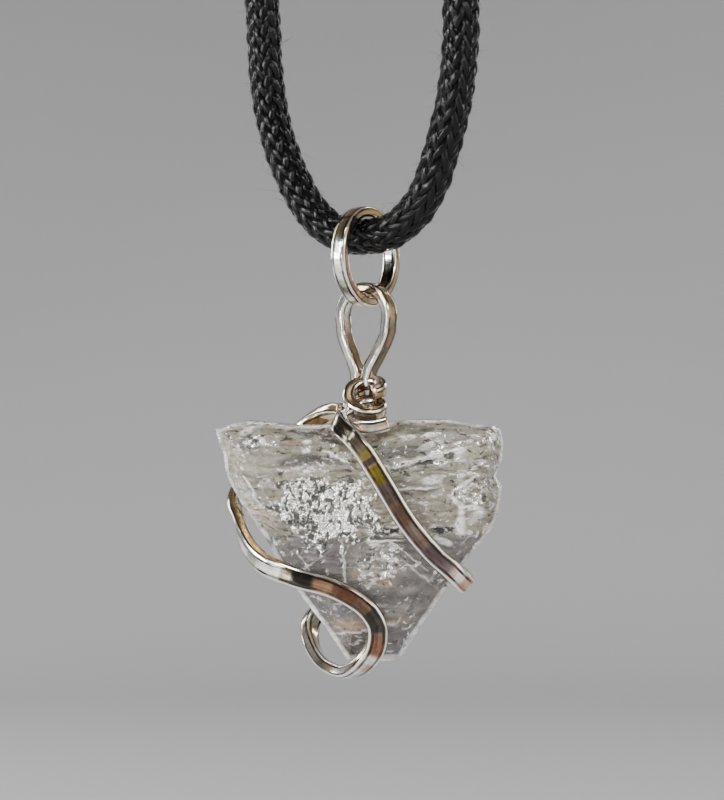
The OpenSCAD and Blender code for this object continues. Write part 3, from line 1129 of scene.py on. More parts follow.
# The wrap from the collar over the front, the edges and the back:
# [x, y, z from the cord, and the direction away from the crystal]
WRAP = np.array([
    [-2.05, -2.3, -14.6, -1, -0.4, 0.3], [-1.95, -3.4, -15.3, -0.5, -0.9, 0.3],
    [-1.2, -4.25, -16, -0.15, -1, 0.1], [-0.45, -4.5, -16.9, 0, -1, 0],
    [0.15, -4.5, -17.75, 0, -1, 0], [1.35, -4.5, -19.7, 0, -1, 0], [2.75, -4.5, -22.05, 0, -1, 0],
    [3.9, -4.5, -23.65, 0, -1, 0], [5.3, -4.5, -25.25, 0, -1, 0], [6.6, -4.45, -26.4, 0, -1, 0],
    [7.35, -4.1, -27.15, 0.3, -1, -0.3], [7.78, -3.3, -27.58, 0.7, -0.6, -0.7],
    [7.85, -2.2, -27.65, 0.8, -0.1, -0.6], [7.85, 0, -27.65, 0.8, 0, -0.6],
    [7.85, 2, -27.65, 0.8, 0.1, -0.6], [7.6, 3.4, -27.6, 0.7, 0.7, -0.4],
    [6.8, 4.3, -27.6, 0.3, 1, -0.1], [5.6, 4.6, -27.7, 0, 1, 0], [4, 4.55, -28.1, 0, 1, 0],
    [1, 4.5, -29, 0, 1, 0], [-1.8, 4.5, -29.8, 0, 1, 0], [-3.6, 4.1, -30.5, -0.2, 1, 0],
    [-4.5, 3, -31.5, -0.7, 0.7, -0.3], [-4.5, 1.8, -32.8, -0.9, 0.3, -0.5],
    [-3.9, 0.4, -33.9, -0.7, 0, -0.7], [-2.9, -1, -34.6, -0.3, -0.2, -1],
    [-1.6, -2.2, -34.8, 0, -0.3, -1], [-0.4, -3.2, -34.15, 0.2, -0.7, -0.6],
    [0.6, -3.9, -32.9, 0.3, -1, -0.1], [0.9, -4.4, -31.2, 0.1, -1, 0],
    [0.4, -4.5, -30, 0, -1, 0], [-0.5, -4.5, -29.1, 0, -1, 0], [-1.8, -4.5, -28.3, 0, -1, 0],
    [-3.3, -4.5, -27.7, 0, -1, 0], [-4.9, -4.4, -27.3, 0, -1, 0],
    [-6.4, -4, -26.8, -0.2, -1, -0.1], [-7.9, -3.4, -26.2, -0.4, -1, -0.3],
    [-9, -2.5, -25.3, -0.7, -0.7, -0.4], [-9.75, -1.5, -24.1, -0.9, -0.4, -0.3],
    [-10.15, -0.5, -22.9, -1, -0.1, -0.3], [-10.65, 1, -21.8, -1, 0.2, -0.2],
    [-10.5, 2.55, -20.9, -0.9, 0.6, 0], [-10, 3.5, -19.9, -0.5, 0.9, 0.1],
    [-9.1, 4.4, -18.9, -0.1, 1, 0], [-8, 4.7, -17.9, 0, 1, 0], [-7, 4.6, -16.9, 0, 1, 0],
    [-5.8, 4.3, -16.1, 0, 1, 0.1], [-4.6, 3.9, -15.15, 0, 1, 0.3], [-3.5, 3, -14.4, 0, 0.8, 0.6],
    [-2.4, 1.6, -14, 0, 0.5, 0.9], [-1.7, 0.7, -13.95, 0, 0.3, 1],
])

# The cut end laid over the front of the collar's foot: columns as above
TAIL = np.array([
    [-1.6, -2.5, -14.95, -0.6, -1, 0], [-0.8, -2.95, -15.25, -0.2, -1, -0.1],
    [0.3, -3.12, -15.32, 0, -1, -0.1], [1.1, -3.15, -15.2, 0.1, -1, -0.1],
    [1.75, -3.12, -15.02, 0.2, -1, 0],
])


@dataclass
class WireWrap:
    """One length of squared wire: bail, collar, and the wrap round the crystal, in millimetres."""

    wide: float = 1.15
    wrap_wide: float = 1.6
    thick: float = 0.95
    bail_z: float = -165.4
    bail_radius: float = 2.275
    collar_middle: Triple = (-0.1, -1.1, -11.93)
    collar_radius: float = 1.3
    collar_pitch: float = 1.6
    collar_lean: float = np.radians(38.0)
    collar_from: float = -60.0
    stem_turn: float = np.radians(50.0)
    flat_from: float = 16.5
    wobble: float = 0.02
    hammering: float = 0.02
    step: float = 0.11
    section_points: int = 32
    patina_seed: int = 81

    def tube(self, rows: Points, stretches: list, flat_from: float = 1e3) -> Surface:
        """The wire along given rows, its faces a little uneven from the pliers.

        Args:
            rows: Rows of [x, y, z, and the direction out of the work], in millimetres.
            stretches: Where each tarnish colour and painted reflection lies.
            flat_from: How far along the wire, in millimetres, it has been flattened wider.

        Returns:
            The surface, in metres.
        """
        length = np.linalg.norm(np.diff(rows[:, :3], axis=0), axis=1).sum()
        fine = through(rows, int(length / self.step))
        path = fine[:, :3]
        path = path + self.wobble * np.stack([value_noise(path, 1.6, k) for k in (11, 12, 13)], axis=-1)
        section = eased_square(self.thick, self.wide, self.section_points, WIRE_POWER)
        uneven = 1 + self.hammering * value_noise(path, 0.8, 5)[:, None, None]
        run = np.linspace(0, length, len(path))
        wider = 1 + (self.wrap_wide / self.wide - 1) * ease(run, flat_from - 2, flat_from)
        uneven = uneven * np.column_stack([np.ones_like(run), wider])[:, None, :]
        tube = swept(path, fine[:, 3:], section * uneven, along=1.0)
        tube.grid = tube.grid * MM
        tube.colours["Tone"] = patina_and_reflection(tube.uv[:, 0, 1], self.section_points, stretches, self.patina_seed)
        return tube

    def bail(self) -> Surface:
        """The teardrop that hangs on the ring, its stems' faces twisted past its own plane.

        Its top is an arc of 210 degrees, and its stems follow listed points.

        Returns:
            The surface.
        """
        angle = np.radians(np.arange(-15, 196, 15))
        facing = np.array([np.sin(self.stem_turn), np.cos(self.stem_turn), 0.0])
        top = self.bail_radius * np.column_stack([np.cos(angle), np.sin(angle)])
        flat = np.vstack([BAIL_RIGHT, top, BAIL_LEFT])
        path = flat[:, :1] * ACROSS + flat[:, 1:] * UP + self.bail_z * UP
        rows = np.column_stack([path, np.cross(facing, headings(path))])
        return self.tube(rows, BAIL_PATINA_AND_REFLECTION)

    def wrap(self) -> Surface:
        """The collar, then the wrap.

        The collar is a leaning helix of one and two thirds of a turn. Its direction out of
        the work is its own radius.

        Returns:
            The surface.
        """
        angle = np.radians(np.arange(self.collar_from, 541, 30))[:, None]
        lean = np.array([0, np.cos(self.collar_lean), np.sin(self.collar_lean)])
        out = np.cos(angle) * [1, 0, 0] + np.sin(angle) * lean
        drop = self.collar_pitch * (np.degrees(angle) - self.collar_from) / 360
        collar = self.collar_middle + self.collar_radius * out - drop * UP
        rows = np.vstack([np.column_stack([collar, out]), WRAP])
        rows[:, 2] += LOW_Z
        return self.tube(rows, WRAP_PATINA_AND_REFLECTION, self.flat_from)

    def tail(self) -> Surface:
        """The cut end over the collar's foot."""
        return self.tube(TAIL + [0, 0, LOW_Z, 0, 0, 0], TAIL_PATINA)

    def make(self, metal: bpy.types.Material) -> bpy.types.Object:
        """Builds the wire and dresses it.

        Args:
            metal: Its material.

        Returns:
            The wire.
        """
        obj = piece("silver_wire", [self.bail(), self.wrap(), self.tail()])
        obj.data.materials.append(metal)
        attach(obj, Body.PENDANT.value)
        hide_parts("wire_wrap")
        return obj


# The crystal


class Tone(Enum):
    """What the light does at a mark in the crystal: its colour, and how clear it looks."""

    BLACK = (0.012, 0.012, 0.014)
    SMOKE = (0.085, 0.085, 0.08)
    MAUVE = (0.125, 0.11, 0.112)
    GREY = (0.26, 0.25, 0.235)
    BEIGE = (0.33, 0.3, 0.24)
    BROWN = (0.36, 0.235, 0.13)
    PALE = (0.62, 0.63, 0.57)
    WHITE = (0.95, 0.94, 0.92)


# The crystal's outline seen from the front, clockwise from the upper left:
# [x, z from the cord, half thickness at the rim, width of the front bevel, of the back one]
OUTLINE = np.array([
    [-12.1, -15.5, 0.8, 2.2, 2.6], [-9.4, -14.8, 1.6, 1.6, 1.6], [-5, -15.1, 2, 1.3, 1.3],
    [-2.6, -15, 1.6, 1.6, 1.4], [-1.6, -15.4, 1.5, 1.6, 1.4], [1, -15.4, 1.5, 1.6, 1.4],
    [1.8, -14.9, 1.6, 1.6, 1.4], [3.6, -14.7, 2, 1.3, 1.3], [6.5, -14.7, 2.2, 1.3, 1.3],
    [8.5, -15.1, 2, 1.3, 1.3], [10.2, -15.1, 1.6, 1.4, 1.4], [10.8, -15.5, 1.4, 1.4, 1.4],
    [11, -16.5, 1.8, 1.3, 1.3], [10.9, -17.5, 1.9, 1.3, 1.3], [10.4, -19.2, 2, 1.3, 1.3],
    [10.9, -20, 1.9, 1.3, 1.3], [10.5, -22.1, 2.2, 1.3, 1.3], [10, -23.4, 2.2, 1.3, 1.3],
    [7.6, -26.5, 2, 1.4, 1.4], [6.1, -28.6, 1.8, 1.6, 1.6], [2.7, -33.95, 1.2, 2.6, 2],
    [-1.4, -34.15, 1.2, 2.8, 2], [-4.4, -29.9, 1.6, 1.8, 1.6], [-7.2, -25.9, 1.4, 1.8, 2],
    [-8.3, -23.9, 1.2, 1.8, 2.6], [-10.1, -21.4, 1, 1.8, 3], [-10.7, -20.4, 1, 1.8, 3],
    [-11.3, -19, 1, 1.6, 3], [-11.4, -17.6, 1.1, 1.6, 2.6],
])

# Marks of the front, seen through its face or broken into it, each a soft-edged ellipse:
# (tone, x, z from the cord, half length, half width, slope in degrees up to the right,
# softness of the edge, strength, height)
MARKS = [
    (Tone.GREY, -9.15, -16.07, 2.68, 1.26, 0, 0.5, 0.25, 0),
    (Tone.BEIGE, -8.20, -18.27, 3.15, 0.79, 2, 0.35, 0.85, 0.03),
    (Tone.BEIGE, -3.63, -18.67, 2.68, 0.47, -6, 0.5, 0.5, 0),
    (Tone.SMOKE, -5.21, -17.88, 1.73, 0.47, 8, 0.35, 0.7, -0.05),
    (Tone.SMOKE, -2.84, -17.96, 1.58, 0.32, -10, 0.35, 0.6, -0.04),
    (Tone.BLACK, -4.85, -15.59, 1.30, 0.16, -6, 0.3, 1, -0.15),
    (Tone.GREY, -4.89, -15.91, 1.26, 0.16, -6, 0.4, 0.8, -0.06),
    (Tone.BLACK, -2.84, -16.15, 0.79, 0.32, -10, 0.35, 0.95, -0.12),
    (Tone.BLACK, -8.44, -15.40, 0.47, 0.12, 25, 0.3, 0.9, -0.1),
    (Tone.BLACK, -8.99, -16.15, 0.39, 0.13, -30, 0.3, 0.85, -0.1),
    (Tone.BLACK, -9.39, -16.78, 0.32, 0.09, 10, 0.3, 0.7, -0.08),
    (Tone.BLACK, -11.20, -15.83, 0.13, 0.09, 30, 0.4, 0.8, -0.08),
    (Tone.BLACK, -10.88, -15.99, 0.10, 0.08, -30, 0.4, 0.8, -0.08),
    (Tone.BLACK, -9.86, -15.44, 0.32, 0.07, 10, 0.4, 0.75, -0.08),
    (Tone.BROWN, -10.41, -16.38, 0.47, 0.32, 30, 0.6, 0.6, 0),
    (Tone.BROWN, -5.84, -16.46, 0.71, 0.28, 0, 0.6, 0.45, 0),
    (Tone.WHITE, -9.39, -15.59, 0.71, 0.27, 25, 0.25, 0.95, 0.08),
    (Tone.WHITE, -8.60, -15.24, 0.55, 0.13, 22, 0.25, 0.95, 0.06),
    (Tone.WHITE, -9.47, -16.42, 0.55, 0.20, -25, 0.3, 0.9, 0.06),
    (Tone.WHITE, -8.20, -16.30, 0.17, 0.47, 20, 0.35, 0.8, 0.05),
    (Tone.WHITE, -10.41, -16.86, 0.47, 0.09, -25, 0.35, 0.9, 0.05),
    (Tone.WHITE, -4.66, -16.38, 0.33, 0.2, 12, 0.4, 0.9, 0.05),
    (Tone.WHITE, -4.70, -17.05, 0.38, 0.2, 38, 0.4, 0.9, 0.05),
    (Tone.WHITE, -6.55, -15.28, 0.71, 0.10, -2, 0.35, 0.8, 0.04),
    (Tone.WHITE, -2.41, -17.53, 1.10, 0.13, -28, 0.25, 1, 0.08),
    (Tone.WHITE, -5.44, -18.51, 0.63, 0.09, 4, 0.35, 0.9, 0.04),
    (Tone.WHITE, -4.42, -18.71, 0.55, 0.24, 25, 0.35, 0.85, 0.06),
    (Tone.WHITE, -6.55, -18.67, 0.47, 0.07, -12, 0.35, 0.8, 0.03),
    (Tone.PALE, -9.47, -21.03, 0.5, 1.9, 27, 0.25, 1, 0.05),
    (Tone.WHITE, -8.91, -20.64, 0.10, 1.81, 27, 0.3, 0.9, 0.05),
    (Tone.SMOKE, -10.10, -19.54, 0.24, 0.19, 0, 0.4, 0.7, -0.04),
    (Tone.BEIGE, -7.34, -20.40, 1.26, 1.10, 0, 0.5, 0.45, 0),
    (Tone.SMOKE, 4.25, -15.52, 1.89, 0.47, 2, 0.45, 0.6, -0.03),
    (Tone.SMOKE, 3.07, -17.25, 1.73, 0.47, 8, 0.45, 0.65, -0.06),
    (Tone.SMOKE, 5.04, -16.78, 1.89, 0.17, 12, 0.4, 0.75, -0.08),
    (Tone.WHITE, 5.12, -15.83, 0.71, 0.25, 14, 0.3, 0.95, 0.07),
    (Tone.WHITE, 3.62, -15.99, 0.32, 0.12, -10, 0.35, 0.9, 0.05),
    (Tone.WHITE, 2.91, -16.07, 0.55, 0.09, -35, 0.35, 0.85, 0.05),
    (Tone.WHITE, 5.83, -16.54, 0.47, 0.11, -35, 0.3, 0.9, 0.04),
    (Tone.WHITE, 4.80, -16.82, 0.63, 0.24, 20, 0.4, 0.7, 0.04),
    (Tone.GREY, 6.70, -15.83, 0.95, 0.47, -10, 0.35, 0.7, 0.03),
    (Tone.PALE, 8.04, -15.67, 1.10, 0.47, 0, 0.5, 0.5, 0.02),
    (Tone.WHITE, 3.86, -18.04, 2.05, 0.24, 15, 0.3, 0.95, 0.12),
    (Tone.WHITE, 5.51, -17.57, 0.79, 0.32, 16, 0.3, 0.9, 0.12),
    (Tone.WHITE, 7.01, -17.21, 0.95, 0.24, 15, 0.3, 0.9, 0.1),
    (Tone.BROWN, 3.70, -18.12, 0.79, 0.14, 15, 0.5, 0.5, 0.05),
    (Tone.SMOKE, 2.28, -18.71, 1.73, 0.12, 14, 0.25, 0.9, -0.12),
    (Tone.SMOKE, 5.51, -18.00, 1.97, 0.15, 8, 0.25, 0.9, -0.14),
    (Tone.BEIGE, 7.56, -17.72, 1.58, 0.35, 7, 0.35, 0.8, -0.03),
    (Tone.WHITE, 8.67, -18.43, 0.79, 0.16, 45, 0.3, 0.85, 0.06),
    (Tone.BLACK, 9.34, -15.48, 0.22, 0.12, -50, 0.3, 0.95, -0.15),
    (Tone.BLACK, 9.97, -15.52, 0.17, 0.09, -50, 0.3, 0.95, -0.15),
    (Tone.BLACK, 9.38, -16.19, 0.17, 0.11, 20, 0.3, 0.9, -0.12),
    (Tone.SMOKE, 8.59, -16.50, 0.17, 0.14, 0, 0.4, 0.8, -0.1),
    (Tone.SMOKE, 9.10, -16.54, 0.16, 0.13, 0, 0.4, 0.8, -0.1),
    (Tone.BLACK, 7.25, -15.75, 0.19, 0.08, -45, 0.4, 0.8, -0.08),
    (Tone.BLACK, 6.03, -15.67, 0.13, 0.13, 0, 0.4, 0.7, -0.08),
    (Tone.WHITE, 8.12, -16.42, 0.24, 0.16, 0, 0.3, 0.9, 0.04),
    (Tone.WHITE, 5.28, -19.46, 0.79, 0.32, 14, 0.35, 0.85, 0.05),
    (Tone.BEIGE, 4.88, -18.91, 1.26, 0.24, 10, 0.4, 0.5, 0.02),
    (Tone.WHITE, 7.88, -19.69, 1.02, 0.19, 33, 0.35, 0.85, 0.06),
    (Tone.WHITE, 7.49, -19.06, 0.32, 0.17, 20, 0.35, 0.8, 0.04),
    (Tone.GREY, 9.93, -19.46, 0.63, 1.10, -20, 0.4, 0.6, 0.02),
    (Tone.SMOKE, 4.88, -20.29, 1.42, 0.08, 2, 0.35, 0.7, -0.06),
    (Tone.BEIGE, 3.86, -21.03, 1.73, 0.55, 4, 0.5, 0.5, 0.0),
    (Tone.WHITE, 3.46, -20.17, 1.73, 0.09, 2, 0.35, 0.75, 0.04),
    (Tone.WHITE, 7.33, -21.27, 0.95, 0.17, -32, 0.3, 0.9, 0.05),
    (Tone.WHITE, 8.43, -21.66, 1.02, 0.17, -8, 0.35, 0.9, 0.05),
    (Tone.WHITE, 7.56, -22.61, 0.24, 1.10, -2, 0.4, 0.75, 0.04),
    (Tone.WHITE, 8.83, -22.22, 0.79, 0.39, 30, 0.5, 0.55, 0.03),
    (Tone.BLACK, 1.89, -23.52, 0.83, 0.24, 3, 0.25, 1, -0.16),
    (Tone.BLACK, 6.14, -23.44, 1.02, 0.27, 4, 0.22, 1, -0.16),
    (Tone.BLACK, 3.23, -24.03, 0.79, 0.12, 0, 0.3, 0.8, -0.1),
    (Tone.SMOKE, 1.26, -24.11, 1.42, 0.17, 0, 0.3, 0.95, -0.1),
    (Tone.WHITE, 1.41, -23.78, 1.26, 0.07, 0, 0.3, 0.95, 0.04),
    (Tone.WHITE, 1.41, -24.25, 1.42, 0.07, 2, 0.3, 0.95, 0.04),
    (Tone.WHITE, 2.36, -23.24, 0.39, 0.13, 0, 0.4, 0.85, 0.05),
    (Tone.WHITE, 7.56, -23.16, 0.39, 0.63, 0, 0.4, 0.8, 0.05),
    (Tone.WHITE, 6.07, -24.27, 0.79, 0.28, -15, 0.3, 0.9, 0.05),
    (Tone.SMOKE, -6.71, -24.07, 1.26, 0.14, 4, 0.3, 0.9, -0.08),
    (Tone.SMOKE, -0.79, -24.27, 0.63, 0.09, 0, 0.3, 0.7, -0.05),
    (Tone.MAUVE, -4.81, -25.53, 3.31, 1.18, -4, 0.3, 0.9, -0.02),
    (Tone.MAUVE, -3.79, -28.92, 1.89, 2.05, 0, 0.4, 0.75, -0.02),
    (Tone.SMOKE, -5.21, -24.82, 1.89, 0.17, 6, 0.5, 0.5, -0.02),
    (Tone.SMOKE, -3.47, -26.24, 0.24, 1.10, 20, 0.6, 0.35, -0.02),
    (Tone.PALE, -1.74, -26.24, 0.08, 2.05, 4, 0.35, 0.8, 0.06),
    (Tone.WHITE, -5.21, -26.63, 1.18, 0.06, 30, 0.3, 0.75, 0.03),
    (Tone.GREY, -6.2, -25.3, 0.9, 0.1, 28, 0.5, 0.6, 0.02),
    (Tone.GREY, -5.6, -26.0, 1.1, 0.08, 32, 0.5, 0.6, 0.02),
    (Tone.GREY, -4.5, -25.9, 0.8, 0.1, 24, 0.5, 0.55, 0.02),
    (Tone.GREY, -3.3, -25.4, 0.7, 0.08, 35, 0.5, 0.5, 0.02),
    (Tone.GREY, -3.6, -30.0, 1.1, 0.09, 12, 0.5, 0.5, 0.02),
    (Tone.PALE, -3.0, -31.75, 0.5, 0.1, 40, 0.5, 0.7, 0.03),
    (Tone.SMOKE, -4.4, -27.3, 0.9, 0.07, 25, 0.5, 0.5, -0.03),
    (Tone.PALE, 0.9, -29.35, 0.9, 0.16, -8, 0.5, 0.5, 0.02),
    (Tone.GREY, 3.7, -28.1, 1.1, 0.3, 15, 0.5, 0.6, 0.0),
    (Tone.BEIGE, 0.94, -26.16, 2.05, 1.58, -10, 0.5, 0.5, 0.02),
    (Tone.BROWN, 1.26, -27.34, 0.95, 0.47, -15, 0.5, 0.65, 0.02),
    (Tone.BROWN, -0.71, -26.95, 0.71, 0.32, 0, 0.6, 0.4, 0.02),
    (Tone.WHITE, 0.70, -27.26, 0.13, 0.09, 0, 0.3, 0.9, 0.05),
    (Tone.WHITE, 1.41, -27.10, 0.15, 0.09, 30, 0.3, 0.9, 0.05),
    (Tone.WHITE, 1.89, -27.58, 0.13, 0.09, -20, 0.3, 0.9, 0.05),
    (Tone.WHITE, 0.15, -27.97, 0.11, 0.08, 0, 0.3, 0.85, 0.05),
    (Tone.WHITE, 3.94, -26.24, 0.19, 0.12, 0, 0.3, 0.9, 0.05),
    (Tone.SMOKE, 1.89, -28.68, 2.21, 0.09, -2, 0.4, 0.7, -0.04),
    (Tone.SMOKE, 2.52, -29.39, 1.89, 0.11, 6, 0.5, 0.5, -0.03),
    (Tone.BEIGE, 2.91, -29.79, 1.73, 0.47, 8, 0.5, 0.5, 0.0),
    (Tone.BEIGE, 5.83, -25.13, 1.42, 0.47, -30, 0.5, 0.5, 0.0),
    (Tone.WHITE, 3.31, -25.45, 2.05, 0.06, -38, 0.35, 0.6, 0.03),
    (Tone.PALE, 4.25, -26.95, 1.89, 0.07, -40, 0.4, 0.55, 0.03),
    (Tone.BROWN, -1.50, -31.05, 1.26, 0.47, 5, 0.45, 0.75, 0.03),
    (Tone.WHITE, -1.11, -31.52, 1.58, 0.09, 10, 0.3, 0.9, 0.06),
    (Tone.BROWN, 2.60, -30.65, 1.50, 0.14, 9, 0.4, 0.85, 0.05),
    (Tone.WHITE, 1.89, -30.93, 0.39, 0.13, 8, 0.4, 0.85, 0.04),
    (Tone.MAUVE, 1.49, -32.47, 2.68, 1.34, 8, 0.25, 0.9, -0.02),
    (Tone.MAUVE, -1.11, -32.86, 1.42, 0.95, 0, 0.3, 0.8, -0.02),
    (Tone.SMOKE, -2.61, -32.07, 0.16, 0.55, -40, 0.5, 0.5, -0.03),
]

# Broken places of the front: (x, z from the cord, half width, half height, how ragged, cell
# of the noise, its seed, where it starts to fade as a share of its size, strength)
BROKEN = [
    (-3.1, -21.9, 4.5, 3.5, 0.35, 0.9, 31, 0.55, 1.0),
    (7.7, -20.6, 2.2, 2.0, 0.4, 0.9, 32, 0.4, 0.45),
    (-9.3, -16.3, 2.2, 1.1, 0.3, 0.7, 33, 0.5, 0.5),
    (0.8, -26.0, 2.6, 2.3, 0.4, 0.6, 34, 0.4, 0.4),
]


@dataclass
class Crystal:
    """The rough crystal: a shield with bevelled edges, growth lines and broken veils.

    Sizes are in millimetres, and heights are measured from the cord.
    """

    thick: float = 7.6
    slope_width: float = 1.6
    slope_height: float = 0.25
    middle: tuple[float, float] = (-0.4, -23.0)
    columns: int = 620
    rows: tuple[int, ...] = (64, 10, 16, 14, 12, 6, 30)
    step: float = 0.85
    step_height: float = 0.09
    fine_step: float = 0.31
    fine_height: float = 0.03
    upper_tint: Colour = (0.285, 0.26, 0.2)
    lower_tint: Colour = (0.135, 0.124, 0.119)
    lower_from: tuple[float, float] = (-24.3, -23.6)
    clearness: float = 0.5
    dark_clearness: float = 0.75
    light_clearness: float = 0.35
    deepest: float = -0.5
    highest: float = 0.16
    innermost: float = 0.997
    rim_row: float = 2.95
    rim_reach: float = 0.17
    bevel_row: float = 2.0
    bevel_reach: float = 0.07
    map_rows: int = 40

    def base(self) -> tuple[Points, Points]:
        """The plain faceted form, as rings from the middle of the front to that of the back.

        Each ring is the outline drawn in towards the middle at its own depth. Between the
        given rings the rows run straight.

        Returns:
            A grid of [x, y, z from the cord], in millimetres, and the place of each of its
            rows between the given rings.
        """
        closed = np.vstack([OUTLINE, OUTLINE[:1]])
        run = np.concatenate([[0], np.cumsum(np.linalg.norm(np.diff(closed[:, :2], axis=0), axis=1))])
        want = np.linspace(0, run[-1], self.columns + 1)[:-1]
        x, z, rim, front, back = (np.interp(want, run, column) for column in closed.T)
        edge = np.stack([x, z], axis=-1)
        inward = np.array(self.middle) - edge
        reach = np.linalg.norm(inward, axis=1)
        half = self.thick / 2

        def ring(draw: Points | float, depth: Points | float) -> Points:
            """The outline drawn in by a length, at a depth."""
            q = edge + (draw / reach)[:, None] * inward
            return np.stack(np.broadcast_arrays(q[:, 0], depth, q[:, 1]), axis=-1)

        rings = np.stack([
            ring(self.innermost * reach, -half), ring(front + self.slope_width, -half),
            ring(front, self.slope_height - half), ring(0 * reach, -rim), ring(0 * reach, rim),
            ring(back, half - self.slope_height), ring(back + self.slope_width, half),
            ring(self.innermost * reach, half),
        ])
        at = [k + np.arange(n) / n for k, n in enumerate(self.rows)]
        at = np.concatenate([*at, [len(self.rows)]])
        k = np.minimum(at.astype(int), len(self.rows) - 1)
        t = (at - k)[:, None, None]
        return (1 - t) * rings[k] + t * rings[k + 1], at

    def out(self, grid: Points) -> Points:
        """The outward direction at each point of a closed grid.

        It is the cross product of the steps to the neighbours across and along.

        Args:
            grid: Rings of points.

        Returns:
            Directions of length one.
        """
        along = np.gradient(grid, axis=0)
        across = np.roll(grid, -1, axis=1) - np.roll(grid, 1, axis=1)
        return unit(np.cross(across, along))

    def growth(self, at: Points) -> Points:
        """Height of the growth lines: steps that rise to the right above the inner line.

        The height falls along the line's own upward direction and jumps back at each step,
        as a saw does, with the steps' places bent by slow noise. They are faint in a smooth
        patch on the left.

        Args:
            at: Points of the grid.

        Returns:
            Their heights.
        """
        x, z = at[..., 0], at[..., 2]
        bent = 0.35 * value_noise(at, 3.1, 21) + 0.1 * value_noise(at, 1.1, 22)
        slope = np.where(x > 0, 0.22, -0.02) * ease(np.abs(x), 0.0, 3.0)
        rise = z - slope * x + bent
        saw = (rise / self.step) % 1.0
        fine = (rise / self.fine_step) % 1.0
        upper = ease(z, -24.2, -22.5)
        calm = 1 - 0.8 * ease(-np.abs(x + 8.0), -4.5, -2.5) * ease(-np.abs(z + 18.4), -1.3, -0.8)
        return upper * calm * (self.step_height * (0.5 - saw) + self.fine_height * (0.5 - fine))

    def crumble(self, at: Points) -> Points:
        """How broken the veil is: 1 inside each broken place's ragged ellipse, times its strength.

        Args:
            at: Points of the grid.

        Returns:
            A share from 0 to 1 for each.
        """
        x, z = at[..., 0], at[..., 2]
        total = np.zeros(x.shape)
        for at_x, at_z, wide, high, ragged, cell, seed, fade, strength in BROKEN:
            far = np.hypot((x - at_x) / wide, (z - at_z) / high)
            total += strength * (1 - ease(far + ragged * value_noise(at, cell, seed), fade, 1.1))
        return np.clip(total, 0, 1)

    def shift(self, grid: Points, broken: Points, front: Points) -> Points:
        """Height of waves of four sizes, growth lines and the crumbs of the broken veil.

        Args:
            grid: Points of the plain form.
            broken: How broken it is at each.
            front: How far each faces the front.

        Returns:
            How far each point moves outwards, before the marks.
        """
        sizes = ((0.1, 4.0, 1), (0.05, 1.5, 2), (0.025, 0.6, 3), (0.014, 0.28, 4))
        waves = sum(size * value_noise(grid, cell, seed) for size, cell, seed in sizes)
        crumbs = np.abs(value_noise(grid, 0.42, 41)) + 0.6 * np.abs(value_noise(grid, 0.22, 42))
        height = waves - 0.05 + (front + 0.5 * (1 - front)) * self.growth(grid)
        return height + broken * (0.3 * crumbs - 0.16)

    def tint(self, grid: Points, cloud: Points, lower: Points, front: Points) -> Points:
        """The crystal's own colour: warm above the inner line, grey below, cloudy throughout.

        Args:
            grid: Points of the plain form.
            cloud: Slow noise at each.
            lower: How far each lies below the inner line.
            front: How far each faces the front.

        Returns:
            A colour for each.
        """
        strata = value_noise(grid * [0.35, 1.0, 1.0], 0.5, 51)
        speck = value_noise(grid, 0.36, 53)
        upper = 1 - lower[..., None]
        tint = upper * np.array(self.upper_tint) + (1 - upper) * np.array(self.lower_tint)
        shade = (1 + 0.16 * strata + 0.14 * cloud + 0.1 * speck) * (1.4 - 0.4 * front)
        return tint * shade[..., None]

    def mark(self, grid: Points, front: Points, tint: Points, height: Points) -> Points:
        """Lays the marks over colours and heights, which it changes.

        A mark's share at a point is 1 inside its ellipse, and fades over its soft edge. The
        ellipses are warped by noise.

        Args:
            grid: Points of the plain form.
            front: How far each faces the front.
            tint: Their colours.
            height: Their heights.

        Returns:
            How clear the crystal is at each point.
        """
        clear = np.full(grid.shape[:-1], self.clearness)
        warp = 0.16 * value_noise(grid, 0.7, 61), 0.12 * value_noise(grid, 0.6, 62)
        x = grid[..., 0] + warp[0] + 0.06 * value_noise(grid, 0.25, 63)
        z = grid[..., 2] + warp[1] + 0.06 * value_noise(grid, 0.25, 64)
        for tone, at_x, at_z, half_long, half_wide, turn, soft, strength, rise in MARKS:
            c, s = np.cos(np.radians(turn)), np.sin(np.radians(turn))
            dx, dz = x - at_x, z - at_z
            far = np.hypot((dx * c + dz * s) / half_long, (dz * c - dx * s) / half_wide)
            share = (1 - ease(far, 1 - soft, 1 + soft)) * strength * front
            target = self.dark_clearness if tone in (Tone.BLACK, Tone.SMOKE) else self.light_clearness
            tint += share[..., None] * (np.array(tone.value) - tint)
            height += share * rise
            clear += share * (target - clear)
        return clear

    def glow(self, grid: Points, row: Points) -> Points:
        """Light caught on the worn edges of the front: its rim, and more weakly its bevel.

        Args:
            grid: Points of the plain form.
            row: The place of each row between the given rings.

        Returns:
            A share of white for each point.
        """
        rim = ease(value_noise(grid, 1.3, 71), -0.9, -0.2)
        rim *= ease(self.rim_reach - np.abs(row - self.rim_row), 0, 0.06)[:, None]
        bevel = 0.5 * ease(value_noise(grid, 0.8, 72), 0, 0.5)
        bevel *= ease(self.bevel_reach - np.abs(row - self.bevel_row), 0, 0.05)[:, None]
        return np.clip(rim + bevel, 0, 0.9)

